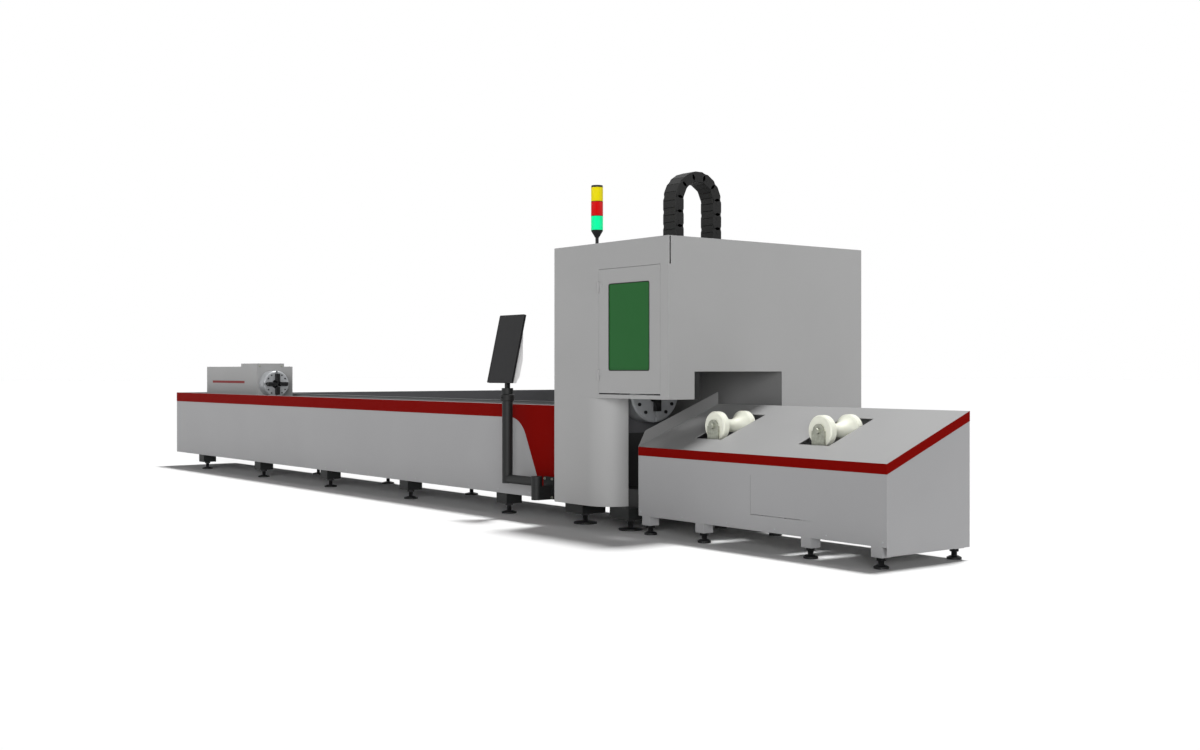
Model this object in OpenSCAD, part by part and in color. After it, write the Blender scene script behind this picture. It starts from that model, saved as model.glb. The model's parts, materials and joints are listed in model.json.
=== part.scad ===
// Fiber laser tube cutting machine: bed with travelling chuck, cutting enclosure and unloading table.
// X runs along the tube axis towards the unloading end, Y across it to the back, Z up from the floor.

/* [Overall] */
// Length of the bed casing, from its free end to the enclosure
bed_l = 8080; // [7900:10:8600]
// Length of the enclosure along the tube axis
enc_l = 1335; // [1320:5:1450]
// Depth of the enclosure across the tube axis
enc_w = 1962; // [1900:2:2200]
// Height of the enclosure roof
enc_top = 2100; // [2080:5:2160]
// Reach of the unloading table beyond the enclosure
table_out = 1839; // [1800:1:2100]
// Height of the tube axis
axis_z = 1016; // [1006:1:1030]
// Distance of the tube axis behind the enclosure front
axis_in = 500; // [490:1:515]
// Height of the casings above the floor
skirt_z = 171; // [150:1:190]
// Thickness of the folded casing sheets
sheet = 3; // [2:0.5:4]
// Thickness of the enclosure walls
enc_t = 4; // [3:0.5:6]
// Running clearance between moving pieces
gap = 0.4; // [0.3:0.1:0.6]

/* [Bed] */
// Width of the bed casing
bed_w = 810; // [800:2:840]
// Height of the bed casing
bed_top = 900; // [890:1:915]
// Depth of the fold along the top of the bed panels
bed_fold = 45; // [20:1:50]
// Height of the red stripe along the bed
stripe_h = 107; // [60:1:140]
// Thickness of the red trim sheets
trim_t = 2; // [1:0.5:4]
// Distance from the enclosure to the foot of the red sweep
sweep_foot = 279; // [250:1:330]
// Lean of the red sweep from the vertical
sweep_lean = 26.4; // [20:0.1:32]
// Radius where the red sweep joins the stripe
sweep_r = 243; // [150:1:280]
// Width of a bed beam
beam_w = 150; // [150:2:170]
// Height of the top of the bed beams
beam_top = 760; // [745:1:770]
// Wall of the bed beams and the base
beam_wall = 12; // [8:1:16]
// Thickness of the tray between the bed beams
tray_t = 5; // [3:0.5:8]
// Number of cross members between the bed beams
cross_n = 9; // [8:1:12]
// Height and width of a cross member
cross_s = 100; // [80:5:120]
// Distance of a guide rail from the tube axis
rail_y = 320; // [315:1:325]
// Width of a guide rail
rail_w = 34; // [30:1:36]
// Height of a guide rail
rail_h = 32; // [28:1:36]
// Width of a rail's waist as a share of its width
rail_waist = 0.72; // [0.6:0.02:0.9]
// Distance of the guide rails from the ends of the bed
rail_end = 60; // [20:5:150]
// Width and height of the drive rack
rack_s = 23; // [18:1:23]
// Start of the rear guard from the free end of the bed
guard_start = 900; // [500:10:1500]
// Rise of the rear guard above the bed casing at the enclosure
guard_rise = 124; // [80:1:140]
// Overlap of the rear guard with the rear panel
guard_lap = 60; // [40:1:100]

/* [Feet] */
// Distance from the free end of the bed to the first foot
foot_first = 787; // [500:1:900]
// Distance from the last foot of the bed to the enclosure
foot_last = 873; // [600:1:1000]
// Stations of feet along the bed
foot_n = 5; // [4:1:6]
// Width of a foot block
block_s = 150; // [130:1:160]
// Height of the underside of a foot block
block_z = 85; // [75:1:100]
// Diameter of the bed foot pads
pad_d = 123; // [100:1:150]
// Diameter of the enclosure foot pads
base_pad_d = 180; // [140:1:200]
// Diameter of the table foot pads
table_pad_d = 92; // [70:1:110]
// Height of a foot pad
pad_h = 22; // [15:1:28]
// Height of the straight rim of a foot pad
pad_rim = 13; // [8:1:14]
// Diameter of the dished neck on a foot pad
pad_neck = 54; // [44:1:60]
// Diameter of a levelling stud
stud_d = 36; // [24:1:40]
// Height of a levelling nut
nut_h = 20; // [12:1:24]
// Width of a levelling nut across its corners
nut_d = 61; // [50:1:70]
// Engagement of a levelling stud in its block
stud_in = 40; // [25:1:50]

/* [Base and enclosure] */
// Height of the top of the black base
base_top = 300; // [270:1:330]
// Distance from the discharge wall to the front part of the base
base_in = 560; // [540:1:600]
// Setback of the base front behind the enclosure front
base_front = 100; // [90:1:130]
// Clearance of the base behind the front skirt
skirt_gap = 2; // [1:0.5:5]
// Width of a foot block under the base
base_block_s = 220; // [200:1:230]
// Width and height of the ties between the base and the table
tie_s = 60; // [40:1:80]
// Distance of the ties from the tube axis
tie_y = 200; // [150:5:240]
// Height of the chuck pedestal
pedestal_top = 700; // [680:1:720]
// Bottom edge of the upper enclosure front
brow_z = 969; // [960:1:990]
// Length of the round corner of the front skirt
skirt_r = 212; // [150:1:230]
// Distance from the discharge wall to the end of the front skirt
skirt_in = 699; // [660:1:720]
// Start of the discharge opening behind the enclosure front
exit_y0 = 238; // [220:1:260]
// End of the discharge opening behind the enclosure front
exit_y1 = 1097; // [1080:1:1130]
// Top of the discharge opening
exit_top = 1163; // [1150:1:1200]
// Half width of the tube passage in the left wall
passage_half = 170; // [150:1:180]
// Corner radius of the tube passage
passage_r = 40; // [20:1:60]
// Width of the slit at the top of the near corner
slit_w = 12; // [8:1:20]
// Height of the slit at the top of the near corner
slit_h = 192; // [120:1:200]
// Setback of the slit behind the enclosure front
slit_in = 10; // [8:1:20]
// Width of the inner frame posts
post_s = 50; // [40:1:60]
// Clearance of the partition behind the discharge opening
partition_off = 6; // [4:1:12]
// Height of the top of the partition
partition_top = 1480; // [1400:5:1500]
// Number of louvres in each group of the rear wall
louvre_n = 10; // [6:1:12]
// Length of a louvre
louvre_l = 320; // [200:5:400]
// Height of a louvre slot
louvre_h = 14; // [8:1:18]
// Distance between louvres
louvre_pitch = 34; // [26:1:40]
// Height of the lowest louvre
louvre_z = 620; // [500:5:900]
// Distance of a louvre group from the middle of the rear wall
louvre_x = 300; // [260:5:400]

/* [Front door] */
// Distance from the discharge wall to the hinged edge of the door
door_x0 = 780; // [765:1:800]
// Distance from the discharge wall to the free edge of the door
door_x1 = 90; // [70:1:120]
// Height of the bottom of the door
door_z0 = 1006; // [1003:1:1020]
// Height of the top of the door
door_z1 = 1905; // [1890:1:1907]
// Depth of the folded door edges
door_fold = 28; // [20:1:40]
// Seam around the door
door_seam = 2.5; // [2:0.5:5]
// Seam under the door
door_grip = 9; // [6:1:12]
// Width of the window
window_w = 456; // [400:1:500]
// Height of the window
window_h = 625; // [560:1:660]
// Height of the bottom of the window
window_z = 1170; // [1150:1:1190]
// Corner radius of the window
window_r = 12; // [4:1:30]
// Thickness of the window pane
pane_t = 6; // [4:1:10]
// Overlap of the pane behind the door sheet
pane_lap = 16; // [10:1:25]
// Height of a hinge
hinge_h = 80; // [60:2:120]
// Radius of the hinge barrel
hinge_r = 6.5; // [5:0.5:8]
// Radius of the hinge pin
hinge_pin_r = 3.5; // [2.5:0.1:4]
// Width of a hinge leaf
hinge_leaf = 30; // [20:1:40]
// Thickness of a hinge leaf
leaf_t = 3; // [2:0.5:3.5]
// Distance of the hinges from the ends of the door
hinge_in = 130; // [80:5:200]

/* [Chucks] */
// Distance from the discharge wall to the front chuck face
front_face_in = 733; // [725:1:745]
// Radius of the front chuck
front_r = 235; // [220:1:240]
// Length of the front chuck
front_len = 147; // [130:1:155]
// Radius of the front spindle
front_spindle_r = 150; // [135:1:160]
// Radius of the front bore
front_bore_r = 85; // [75:1:90]
// Distance from the left wall to the front spindle housing
front_house_in = 160; // [120:1:190]
// Half width of the front spindle housing
front_house_half = 270; // [255:1:285]
// Radius of the rear chuck
rear_r = 150; // [140:1:152]
// Length of the rear chuck
rear_len = 154; // [130:1:170]
// Radius of the rear spindle
rear_spindle_r = 90; // [85:1:95]
// Radius of the rear bore
rear_bore_r = 55; // [50:1:60]
// Face chamfer of the chucks
chuck_ch = 10; // [4:1:20]
// Axial gap between a chuck and its housing
chuck_gap = 0.8; // [0.5:0.1:1.5]
// Distance of a closed jaw from the tube axis
jaw_in = 21; // [18:1:26]
// Length of a front jaw
front_jaw_l = 130; // [110:1:140]
// Length of a rear jaw
rear_jaw_l = 98; // [85:1:100]
// Width of a jaw head
jaw_w = 44; // [40:1:48]
// Height of a jaw head above the chuck face
jaw_h = 42; // [30:1:50]
// Width of a jaw tip
jaw_tip = 16; // [10:1:20]
// Width of the neck of a jaw slot
slot_neck_w = 28; // [22:1:32]
// Depth of the neck of a jaw slot
slot_neck_d = 14; // [10:1:18]
// Width of the foot of a jaw slot
slot_tee_w = 46; // [38:1:50]
// Depth of the foot of a jaw slot
slot_tee_d = 16; // [12:1:20]

/* [Gantry and cutting head] */
// Distance from the discharge wall to the far face of the gantry
gantry_in = 800; // [790:1:820]
// Width of the gantry along the tube axis
gantry_w = 200; // [190:1:210]
// Height of the gantry beam
beam_h = 220; // [210:1:240]
// Height of the top of the gantry
gantry_top = 1760; // [1740:1:1780]
// Reach of the gantry beam ahead of the tube axis
gantry_reach = 330; // [310:1:360]
// Depth of the gantry column
column_d = 280; // [240:1:320]
// Reach of the rib under the gantry beam
rib = 150; // [100:1:200]
// Width of the small guide rails
mini_w = 26; // [22:1:30]
// Height of the small guide rails
mini_h = 24; // [20:1:28]
// Distance of the cross rails from the beam edges
mini_edge = 40; // [35:1:50]
// Thickness of the slide plates
slide_t = 20; // [16:1:25]
// Thickness of a small guide block above its rail
mini_top = 10; // [8:1:14]
// Half width of the cross slide
saddle_half = 160; // [150:1:170]
// Height of the cross slide
saddle_h = 340; // [320:1:360]
// Half width of the vertical slide
zslide_half = 100; // [90:1:110]
// Height of the bottom of the vertical slide
zslide_z0 = 1290; // [1270:1:1310]
// Height of the top of the vertical slide
zslide_z1 = 1850; // [1830:1:1880]
// Distance of the vertical rails from the slide centre
zrail_y = 60; // [50:1:68]
// Radius of the cutting head barrel
head_r = 42; // [36:1:46]
// Radius of the neck and the plug of the cutting head
neck_r = 25; // [20:1:30]
// Height of the nozzle tip
nozzle_z = 1092; // [1085:1:1110]
// Height of the nozzle cone
nozzle_h = 70; // [50:1:90]
// Height of the top of the cutting head
head_top = 1700; // [1650:5:1750]
// Travel of the cutting head down from its resting height
head_down = 70; // [40:5:75]
// Travel of the cutting head up from its resting height
head_up = 100; // [60:5:110]
// Travel of the cutting head across the tube, to each side
head_travel = 100; // [60:5:120]
// Length of a small guide block
block_l = 70; // [50:1:76]
// Clearance of a small guide block above its seat
mini_lift = 5; // [3:1:8]
// Height of a head clamp
clamp_h = 60; // [40:1:70]
// Wall of a head clamp beside the barrel
clamp_wall = 18; // [12:1:24]
// Radius of the nozzle tip
nozzle_r = 6; // [4:0.5:8]
// Height of the connector on top of the cutting head
plug_h = 60; // [40:1:80]

/* [Drag chain] */
// Width of the chain
chain_w = 144; // [120:1:160]
// Height of a chain link
chain_h = 77; // [60:1:84]
// Spread of the chain, measured across its outer faces
chain_span = 446; // [420:1:470]
// Height of the top of the chain
chain_top = 2629; // [2600:1:2680]
// Distance of the front leg ahead of the tube axis
chain_front = 134; // [120:1:145]
// Distance of the chain ahead of the vertical slide
chain_in = 3; // [2:0.5:10]
// Number of links round the bend
bend_n = 11; // [9:1:13]
// Number of links in each leg
leg_n = 9; // [8:1:9]
// Thickness of a link side plate
plate_t = 6; // [4:0.5:8]
// Thickness of a link cross bar
bar_t = 4; // [3:0.5:4.5]
// Width of a link cross bar as a share of the link pitch
bar_share = 0.62; // [0.4:0.02:0.66]
// Clearance round the chain in the roof slot
slot_clear = 14; // [8:1:25]
// Height of the chain seats
seat_h = 60; // [40:1:80]
// Radius of a link lug as a share of the link pitch
lug_share = 0.48; // [0.4:0.01:0.48]
// Step between the outer and the inner links
link_step = 3; // [2.5:0.5:4]

/* [Light tower] */
// Distance from the discharge wall to the light tower
tower_in = 997; // [900:1:1100]
// Distance of the light tower behind the enclosure front
tower_y = 150; // [110:1:200]
// Diameter of the light tower
tower_d = 90; // [60:1:100]
// Height of one light
lamp_h = 108; // [80:1:120]
// Height of the tower cap
cap_h = 16; // [10:1:24]
// Height of the tapered tower base
cone_h = 50; // [40:1:60]
// Length of the tower pole
pole_l = 67; // [50:1:90]
// Diameter of the tower pole
pole_d = 25; // [18:1:30]
// Diameter of the flange of the tower pole
flange_d = 55; // [40:1:70]
// Thickness of the flange of the tower pole
flange_t = 8; // [5:1:12]
// Depth of the groove between the lights
groove_d = 3; // [2:0.5:5]
// Height of the groove between the lights
groove_h = 6; // [4:1:10]

/* [Monitor] */
// Distance from the enclosure to the arm pivot
arm_pivot_in = 190; // [175:1:230]
// Length of the arm from pivot to post
arm_l = 405; // [370:1:430]
// Distance of the pivot and post ahead of the enclosure front
post_out = 31; // [25:1:50]
// Diameter of the post
post_d = 84; // [76:1:90]
// Diameter of the horizontal arm
arm_d = 70; // [60:1:72]
// Height of the arm above the floor
arm_z = 310; // [300:1:330]
// Height of the top of the post
post_top = 985; // [960:1:1000]
// Width of the arm bracket
bracket_w = 130; // [110:1:150]
// Thickness of the arm bracket
bracket_t = 12; // [8:1:16]
// Thickness of the cap over the arm pivot
arm_cap = 8; // [5:1:12]
// Radius of the arm pivot pin
pivot_r = 20; // [16:1:24]
// Diameter of the swivel collar
collar_d = 92; // [86:1:100]
// Height of the swivel collar
collar_h = 45; // [35:1:50]
// Height of the tilt pivot
tilt_z = 1200; // [1190:1:1210]
// Radius of the tilt pin
tilt_r = 10; // [8:1:12]
// Reach of the tilt pin to each side of the neck
tilt_out = 40; // [30:1:50]
// Width of the tilt neck
neck_w = 34; // [28:1:40]
// Depth of the tilt neck
neck_d = 30; // [24:1:32]
// Backward tilt of the screen
screen_tilt = 13.1; // [8:0.1:16]
// Width of the screen
screen_w = 350; // [320:1:380]
// Height of the screen
screen_h = 554; // [520:1:580]
// Height of the screen below the tilt pivot
screen_low = 141; // [130:1:150]
// Distance of the screen face ahead of the tilt pivot
screen_d = 50; // [46:1:54]
// Thickness of the screen panel
screen_t = 18; // [14:1:22]
// Width of the screen housing
shell_w = 270; // [240:1:320]
// Depth of the screen housing behind the tilt pivot
shell_back = 42; // [36:1:60]
// Inset of the housing from the bottom and its thickness at the top
shell_in = 12; // [8:1:16]
// Length of the sloped ends of the housing
shell_slope = 60; // [40:1:70]
// Thickness of the housing wall ahead of the neck
shell_wall = 5; // [4:0.5:6]
// Width of the frame round the display
bezel = 14; // [8:1:20]
// Corner radius of the screen
screen_r = 8; // [4:1:14]
// Depth of the display field
display_in = 1; // [0.5:0.5:2]

/* [Unloading table] */
// Reach of the table into the enclosure
table_in = 449; // [430:1:460]
// Distance of the table front ahead of the tube axis
table_front = 399; // [390:1:405]
// Distance of the table back behind the tube axis
table_back = 373; // [365:1:390]
// Height of the table slope at the front
slope_z0 = 624; // [615:1:640]
// Height of the table slope at the back
slope_z1 = 920; // [905:1:930]
// Thickness of the table top
top_t = 4; // [3:0.5:6]
// Bottom of the front panel
front_low = 133; // [120:1:150]
// Bottom of the end panel
end_low = 79; // [74:1:90]
// Bottom of the inner end panel
inner_low = 282; // [260:1:300]
// Height of the red stripe on the table
table_stripe = 62; // [50:1:75]
// Height of the fence above the slope
fence_h = 90; // [70:1:100]
// Chamfer of the front corner of the fence
fence_ch = 64; // [40:1:80]
// Width of a table leg
leg_s = 85; // [75:1:90]
// Bottom of the table legs
leg_z = 68; // [62:1:72]
// Wall of the table legs
leg_t = 5; // [4:0.5:8]
// Inset of the outer legs from the table ends
leg_end = 40; // [20:1:60]
// Inset of the inner legs from the table ends
leg_mid = 608; // [560:1:640]
// Height of the table rails
bearer_z = 300; // [280:1:320]
// Height and width of the table rails
bearer_s = 60; // [50:1:70]
// Height of the panel seam in the table front
seam_z = 235; // [200:1:260]
// Width of the panel seam
seam_w = 3; // [2:0.5:4]
// Distance of the panel seam below the red stripe
seam_top = 70; // [50:1:90]

/* [Rollers] */
// Distance from the discharge wall out to the first roller
roller_x = 86; // [80:1:95]
// Distance between the rollers
roller_pitch = 991; // [960:1:1000]
// Height of the roller axis
roller_z = 783; // [775:1:790]
// Radius of the roller ends
roller_r = 102; // [95:1:106]
// Radius of the roller waist
waist_r = 45; // [38:1:60]
// Length of a roller
roller_l = 310; // [290:1:320]
// Width of a roller end
roller_rim = 58; // [40:1:65]
// Radius of a roller shaft
shaft_r = 12; // [10:1:16]
// Width of a roller slot along the table
hole_w = 268; // [250:1:290]
// Reach of a roller slot to each side of the tube axis
hole_half = 212; // [205:1:225]
// Width of a roller bracket
fork_w = 110; // [90:1:130]
// Thickness of a roller bracket
fork_t = 12; // [8:1:14]
// Clearance between a roller and its brackets
fork_gap = 3; // [2:0.5:5]
// Clearance below a roller
fork_drop = 12; // [8:1:20]
// Height of the step and chamfers of a roller end
rim_step = 8; // [5:1:10]
// Inset of the round top of a roller bracket
fork_in = 10; // [6:1:14]
// Radius of a lift rod
rod_r = 20; // [16:1:24]
// Radius of a lift cylinder
cylinder_r = 38; // [32:1:44]
// Height of the top of a lift cylinder
cylinder_top = 560; // [540:1:570]

/* [Travelling chuck carriage] */
// Distance of the carriage from the free end of the bed
carriage_in = 371; // [300:1:450]
// Length of the low carriage box
low_l = 1028; // [950:1:1100]
// Length of the tall chuck housing
tall_l = 450; // [430:1:480]
// Top of the low box
low_top = 1215; // [1200:1:1230]
// Top of the chuck housing
tall_top = 1250; // [1235:1:1265]
// Reach of the boxes ahead of the tube axis
box_front = 168; // [160:1:180]
// Reach of the chuck housing behind the tube axis
tall_back = 160; // [155:1:170]
// Reach of the low box behind the tube axis
low_back = 266; // [255:1:280]
// Wall of the chuck housing
house_t = 26; // [20:1:30]
// Half width of the carriage plate
plate_half = 352; // [350:1:356]
// Thickness of the carriage plate
cplate_t = 20; // [16:1:25]
// Width of a guide block
gblock_w = 66; // [60:1:68]
// Length of a guide block
gblock_l = 140; // [110:1:160]
// Height of a guide block
gblock_h = 45; // [42:1:50]
// Ground clearance of a guide block above the beam
gblock_z = 8; // [6:1:10]

/* [Hidden] */
$fn = 64;
cut = 1;
grey = [0.62, 0.62, 0.62];
dark_grey = [0.36, 0.36, 0.37];
black = [0.1, 0.1, 0.1];
red = [0.49, 0.04, 0.02];
steel = [0.7, 0.71, 0.72];
ivory = [0.91, 0.92, 0.86];

// Stations along the machine
screen_front = post_out + screen_d * cos(screen_tilt) + screen_low * sin(screen_tilt);
total_l = bed_l + enc_l + table_out + trim_t;
total_w = screen_front + enc_w;
x_bed = -total_l / 2;
x_enc = x_bed + bed_l;
x_out = x_enc + enc_l;
x_end = x_out + table_out;
y_enc = -total_w / 2 + screen_front;
y_back = y_enc + enc_w;
y_ax = y_enc + axis_in;
y_bed0 = y_ax - bed_w / 2;
y_bed1 = y_ax + bed_w / 2;
roof_z = enc_top - enc_t;

// Feet
foot_y = bed_w / 2 - sheet - block_s / 2;
foot_pitch = (bed_l - foot_first - foot_last) / (foot_n - 1);
x_base0 = x_enc + enc_t;
x_base1 = x_out - base_in;
y_base0 = y_enc + base_front;
y_step = y_enc + exit_y1 + partition_off + enc_t;
y_base1 = y_back - enc_t;
base_foot_in = base_block_s / 2;
x_roll = x_out - skirt_in - skirt_r;
y_main = y_enc + skirt_r + skirt_gap;
bed_feet = [for (i = [0 : foot_n - 1], s = [-1, 1]) [x_bed + foot_first + i * foot_pitch, y_ax + s * foot_y]];
base_feet = [
    [x_base0 + base_foot_in, y_base0 + base_foot_in],
    [x_base1 - base_foot_in, y_base0 + base_foot_in],
    [x_base0 + base_foot_in, y_base1 - base_foot_in],
    [x_out - enc_t - base_foot_in, y_base1 - base_foot_in],
    [x_out - enc_t - base_foot_in, y_step + base_foot_in]
];

// Front door and window
x_door0 = x_out - door_x0;
x_door1 = x_out - door_x1;
x_window = (x_door0 + x_door1) / 2;
x_hinge = x_door0 - door_seam / 2;
y_hinge = y_enc - hinge_r - gap;
hinge_zs = [door_z0 + hinge_in, door_z1 - hinge_in];

// Chucks
x_front_face = x_out - front_face_in;
x_front_house = x_front_face - front_len - chuck_gap;
front_house_l = x_front_house - x_base0 - front_house_in;
x_carriage = x_bed + carriage_in;
x_low1 = x_carriage + low_l;
x_tall1 = x_low1 + tall_l;
x_rear_face = x_tall1 + chuck_gap + rear_len;
plate_z0 = beam_top + gblock_z + gblock_h;
plate_z1 = plate_z0 + cplate_t;

// Gantry stack, from the beam face towards the cutting head
x_beam1 = x_out - gantry_in + gantry_w;
x_saddle = x_beam1 + mini_h + mini_top;
x_zrail = x_saddle + slide_t;
x_zslide = x_zrail + mini_h + mini_top;
x_head = x_zslide + slide_t + head_r + clamp_wall;
beam_z0 = gantry_top - beam_h;
saddle_z0 = beam_z0 + beam_h / 2 - saddle_h / 2;

// Drag chain
chain_r = (chain_span - chain_h) / 2;
x_chain = x_zslide + slide_t + chain_in + chain_w / 2;
y_chain = y_ax - chain_front + chain_span / 2;
z_bend = chain_top - chain_span / 2;
link_p = PI * chain_r / bend_n;
lug_r = link_p * lug_share;
z_chain0 = z_bend - leg_n * link_p;
chain_n = bend_n + 2 * leg_n;
z_seat = z_chain0 - lug_r - gap;

// Light tower
z_cone = enc_top + pole_l;
z_lamp = z_cone + cone_h;

// Monitor
x_pivot = x_enc - arm_pivot_in;
x_post = x_pivot - arm_l;
y_post = y_enc - post_out;

// Unloading table
x_tab = x_out - table_in;
y_tab0 = y_ax - table_front;
y_tab1 = y_ax + table_back;
slope = (slope_z1 - slope_z0) / (y_tab1 - y_tab0);
function slope_z(y) = slope_z0 + slope * (y - y_tab0);
top_drop = top_t / cos(atan(slope));
leg_xs = [x_tab + leg_end, x_tab + leg_mid, x_end - leg_mid - leg_s, x_end - leg_end - leg_s];
leg_ys = [y_tab0 + sheet, y_tab1 - sheet - leg_s];
roller_xs = [x_out + roller_x, x_out + roller_x + roller_pitch];
fork_y = roller_l / 2 + fork_gap;
fork_z0 = roller_z - roller_r - fork_drop - fork_t;

// Box between two opposite corners
module span(a, b) {
    translate(a) cube(b - a);
}

// Sheet in the XZ plane: an outline in x and z, from y0 to y0 + t
module xz_sheet(y0, t) {
    translate([0, y0 + t, 0]) rotate([90, 0, 0]) linear_extrude(t) children();
}

// Sheet in the YZ plane: an outline in y and z, from x0 to x0 + t
module yz_sheet(x0, t) {
    translate([x0, 0, 0]) rotate([90, 0, 90]) linear_extrude(t) children();
}

// Rectangle between two corners with round corners
module round_rect(a, b, r) {
    translate([a.x + r, a.y]) square([b.x - a.x - 2 * r, b.y - a.y]);
    translate([a.x, a.y + r]) square([b.x - a.x, b.y - a.y - 2 * r]);
    for (x = [a.x + r, b.x - r], y = [a.y + r, b.y - r]) translate([x, y]) circle(r);
}

// Places a piece on the tube axis, with its own Z turned along X
module on_axis(x) {
    translate([x, y_ax, axis_z]) rotate([0, 90, 0]) children();
}

// Two box beams joined by cross members and a tray between them, with open ends
module bed_frame() {
    color(dark_grey) {
        for (y = [y_bed0 + sheet, y_bed1 - sheet - beam_w]) difference() {
            span([x_bed + sheet, y, skirt_z], [x_enc, y + beam_w, beam_top]);
            span([x_bed, y + beam_wall, skirt_z + beam_wall],
                 [x_enc + cut, y + beam_w - beam_wall, beam_top - beam_wall]);
        }
        cross_pitch = (bed_l - cross_s - 2 * rail_end) / (cross_n - 1);
        for (i = [0 : cross_n - 1]) translate([x_bed + rail_end + i * cross_pitch, 0, skirt_z + cross_s / 2])
            span([0, y_bed0 + sheet + beam_w, 0], [cross_s, y_bed1 - sheet - beam_w, cross_s]);
        span([x_bed + sheet, y_bed0 + sheet + beam_w - beam_wall / 2, skirt_z],
             [x_enc, y_bed1 - sheet - beam_w + beam_wall / 2, skirt_z + tray_t]);
    }
}

// Bed panel with its top edge folded towards the tube axis
module bed_panel() {
    yz_sheet(x_bed + sheet, bed_l - sheet) {
        translate([0, skirt_z]) square([sheet, bed_top - skirt_z]);
        translate([0, bed_top - sheet]) square([bed_fold, sheet]);
    }
}

module bed_front_panel() {
    color(grey) translate([0, y_bed0, 0]) bed_panel();
}

module bed_rear_panel() {
    color(grey) translate([0, y_bed1, 0]) mirror([0, 1, 0]) bed_panel();
}

// Red stripe along the bed that sweeps down to the floor beside the enclosure
module bed_front_trim() {
    stripe_z = bed_top - stripe_h;
    x_foot = x_enc - sweep_foot;
    x_corner = x_foot - (stripe_z - skirt_z) * tan(sweep_lean);
    reach = sweep_r * tan((90 - sweep_lean) / 2);
    centre = [x_corner - reach, stripe_z - sweep_r];
    touch = centre + sweep_r * [cos(sweep_lean), sin(sweep_lean)];
    color(red) xz_sheet(y_bed0 - trim_t, trim_t) {
        translate([x_bed, stripe_z]) square([bed_l, stripe_h]);
        difference() {
            polygon([[x_foot, skirt_z], [x_enc, skirt_z], [x_enc, stripe_z + cut], [centre.x, stripe_z + cut],
                     [centre.x, stripe_z], touch]);
            translate(centre) circle(sweep_r, $fn = 128);
        }
    }
}

// Dark guard behind the bed whose top edge rises towards the enclosure
module bed_rear_guard() {
    x0 = x_bed + guard_start;
    color(dark_grey) xz_sheet(y_bed1, sheet)
        polygon([[x0, bed_top - guard_lap], [x_enc, bed_top - guard_lap], [x_enc, bed_top + guard_rise],
                 [x0, bed_top]]);
}

module bed_end_panel() {
    color(grey) span([x_bed, y_bed0, skirt_z], [x_bed + sheet, y_bed1, bed_top]);
}

// Rail section with waisted sides, standing on its base
module rail_section(w, h) {
    side = w / 2;
    waist = side * rail_waist;
    low = h / 3;
    high = h - low;
    polygon([[-side, 0], [side, 0], [side, low], [waist, h / 2], [side, high], [side, h],
             [-side, h], [-side, high], [-waist, h / 2], [-side, low]]);
}

// Guide rails of the bed and of the gantry beam, and the drive rack
module rails_and_rack() {
    color(steel) {
        for (s = [-1, 1]) yz_sheet(x_bed + rail_end, bed_l - 2 * rail_end)
            translate([y_ax + s * rail_y, beam_top]) rail_section(rail_w, rail_h);
        for (z = [beam_z0 + mini_edge, gantry_top - mini_edge])
            translate([x_beam1, y_ax - gantry_reach, z]) rotate([-90, 0, 0]) rotate([0, 0, -90])
                linear_extrude(2 * gantry_reach) rail_section(mini_w, mini_h);
        span([x_bed + rail_end, y_bed0 + sheet + beam_w - rack_s, beam_top],
             [x_enc - rail_end, y_bed0 + sheet + beam_w, beam_top + rack_s]);
    }
}

// Square block bored for a levelling stud
module foot_block(w) {
    difference() {
        translate([-w / 2, -w / 2, block_z]) cube([w, w, skirt_z - block_z]);
        translate([0, 0, block_z - cut]) cylinder(d = stud_d + 2 * gap, h = stud_in + gap + cut);
    }
}

// Blocks under the bed and the base
module foot_blocks() {
    color(black) {
        for (p = bed_feet) translate(p) foot_block(block_s);
        for (p = base_feet) translate(p) foot_block(base_block_s);
    }
}

// Levelling foot: round pad, dished neck, stud and lock nut under the seat
module levelling_foot(d, seat) {
    cylinder(d = d, h = pad_rim);
    translate([0, 0, pad_rim]) cylinder(d1 = d, d2 = pad_neck, h = pad_h - pad_rim);
    cylinder(d = stud_d, h = seat + stud_in);
    translate([0, 0, seat - nut_h]) cylinder(d = nut_d, h = nut_h, $fn = 6);
}

module levelling_feet() {
    color(black) {
        for (p = bed_feet) translate(p) levelling_foot(pad_d, block_z);
        for (p = base_feet) translate(p) levelling_foot(base_pad_d, block_z);
        for (x = leg_xs, y = leg_ys)
            translate([x + leg_s / 2, y + leg_s / 2]) levelling_foot(table_pad_d, leg_z);
    }
}

// Plan of the base: a strip behind the front skirt, a part under the chuck and a rear part under the gantry
module base_plan(inset) {
    translate([x_base0 + inset, y_base0 + inset])
        square([x_roll - x_base0 - 2 * inset, y_main - y_base0 + cut]);
    translate([x_base0 + inset, y_main + inset])
        square([x_base1 - x_base0 - 2 * inset, y_base1 - y_main - 2 * inset]);
    translate([x_base0 + inset, y_step + inset])
        square([x_out - enc_t - x_base0 - 2 * inset, y_base1 - y_step - 2 * inset]);
}

// Welded base, open below, with the pedestal of the front chuck and the ties to the table
module base_frame() {
    color(black) {
        difference() {
            translate([0, 0, skirt_z]) linear_extrude(base_top - skirt_z) base_plan(0);
            translate([0, 0, skirt_z - cut]) linear_extrude(base_top - skirt_z - beam_wall + cut)
                base_plan(beam_wall);
        }
        for (s = [-1, 1]) translate([0, y_ax + s * tie_y - tie_s / 2, base_top - tie_s])
            span([x_base1 - cut, 0, 0], [x_tab, tie_s, tie_s]);
        span([x_front_house - front_house_l, y_ax - front_house_half, base_top],
             [x_front_house, y_ax + front_house_half, pedestal_top]);
    }
}

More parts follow.
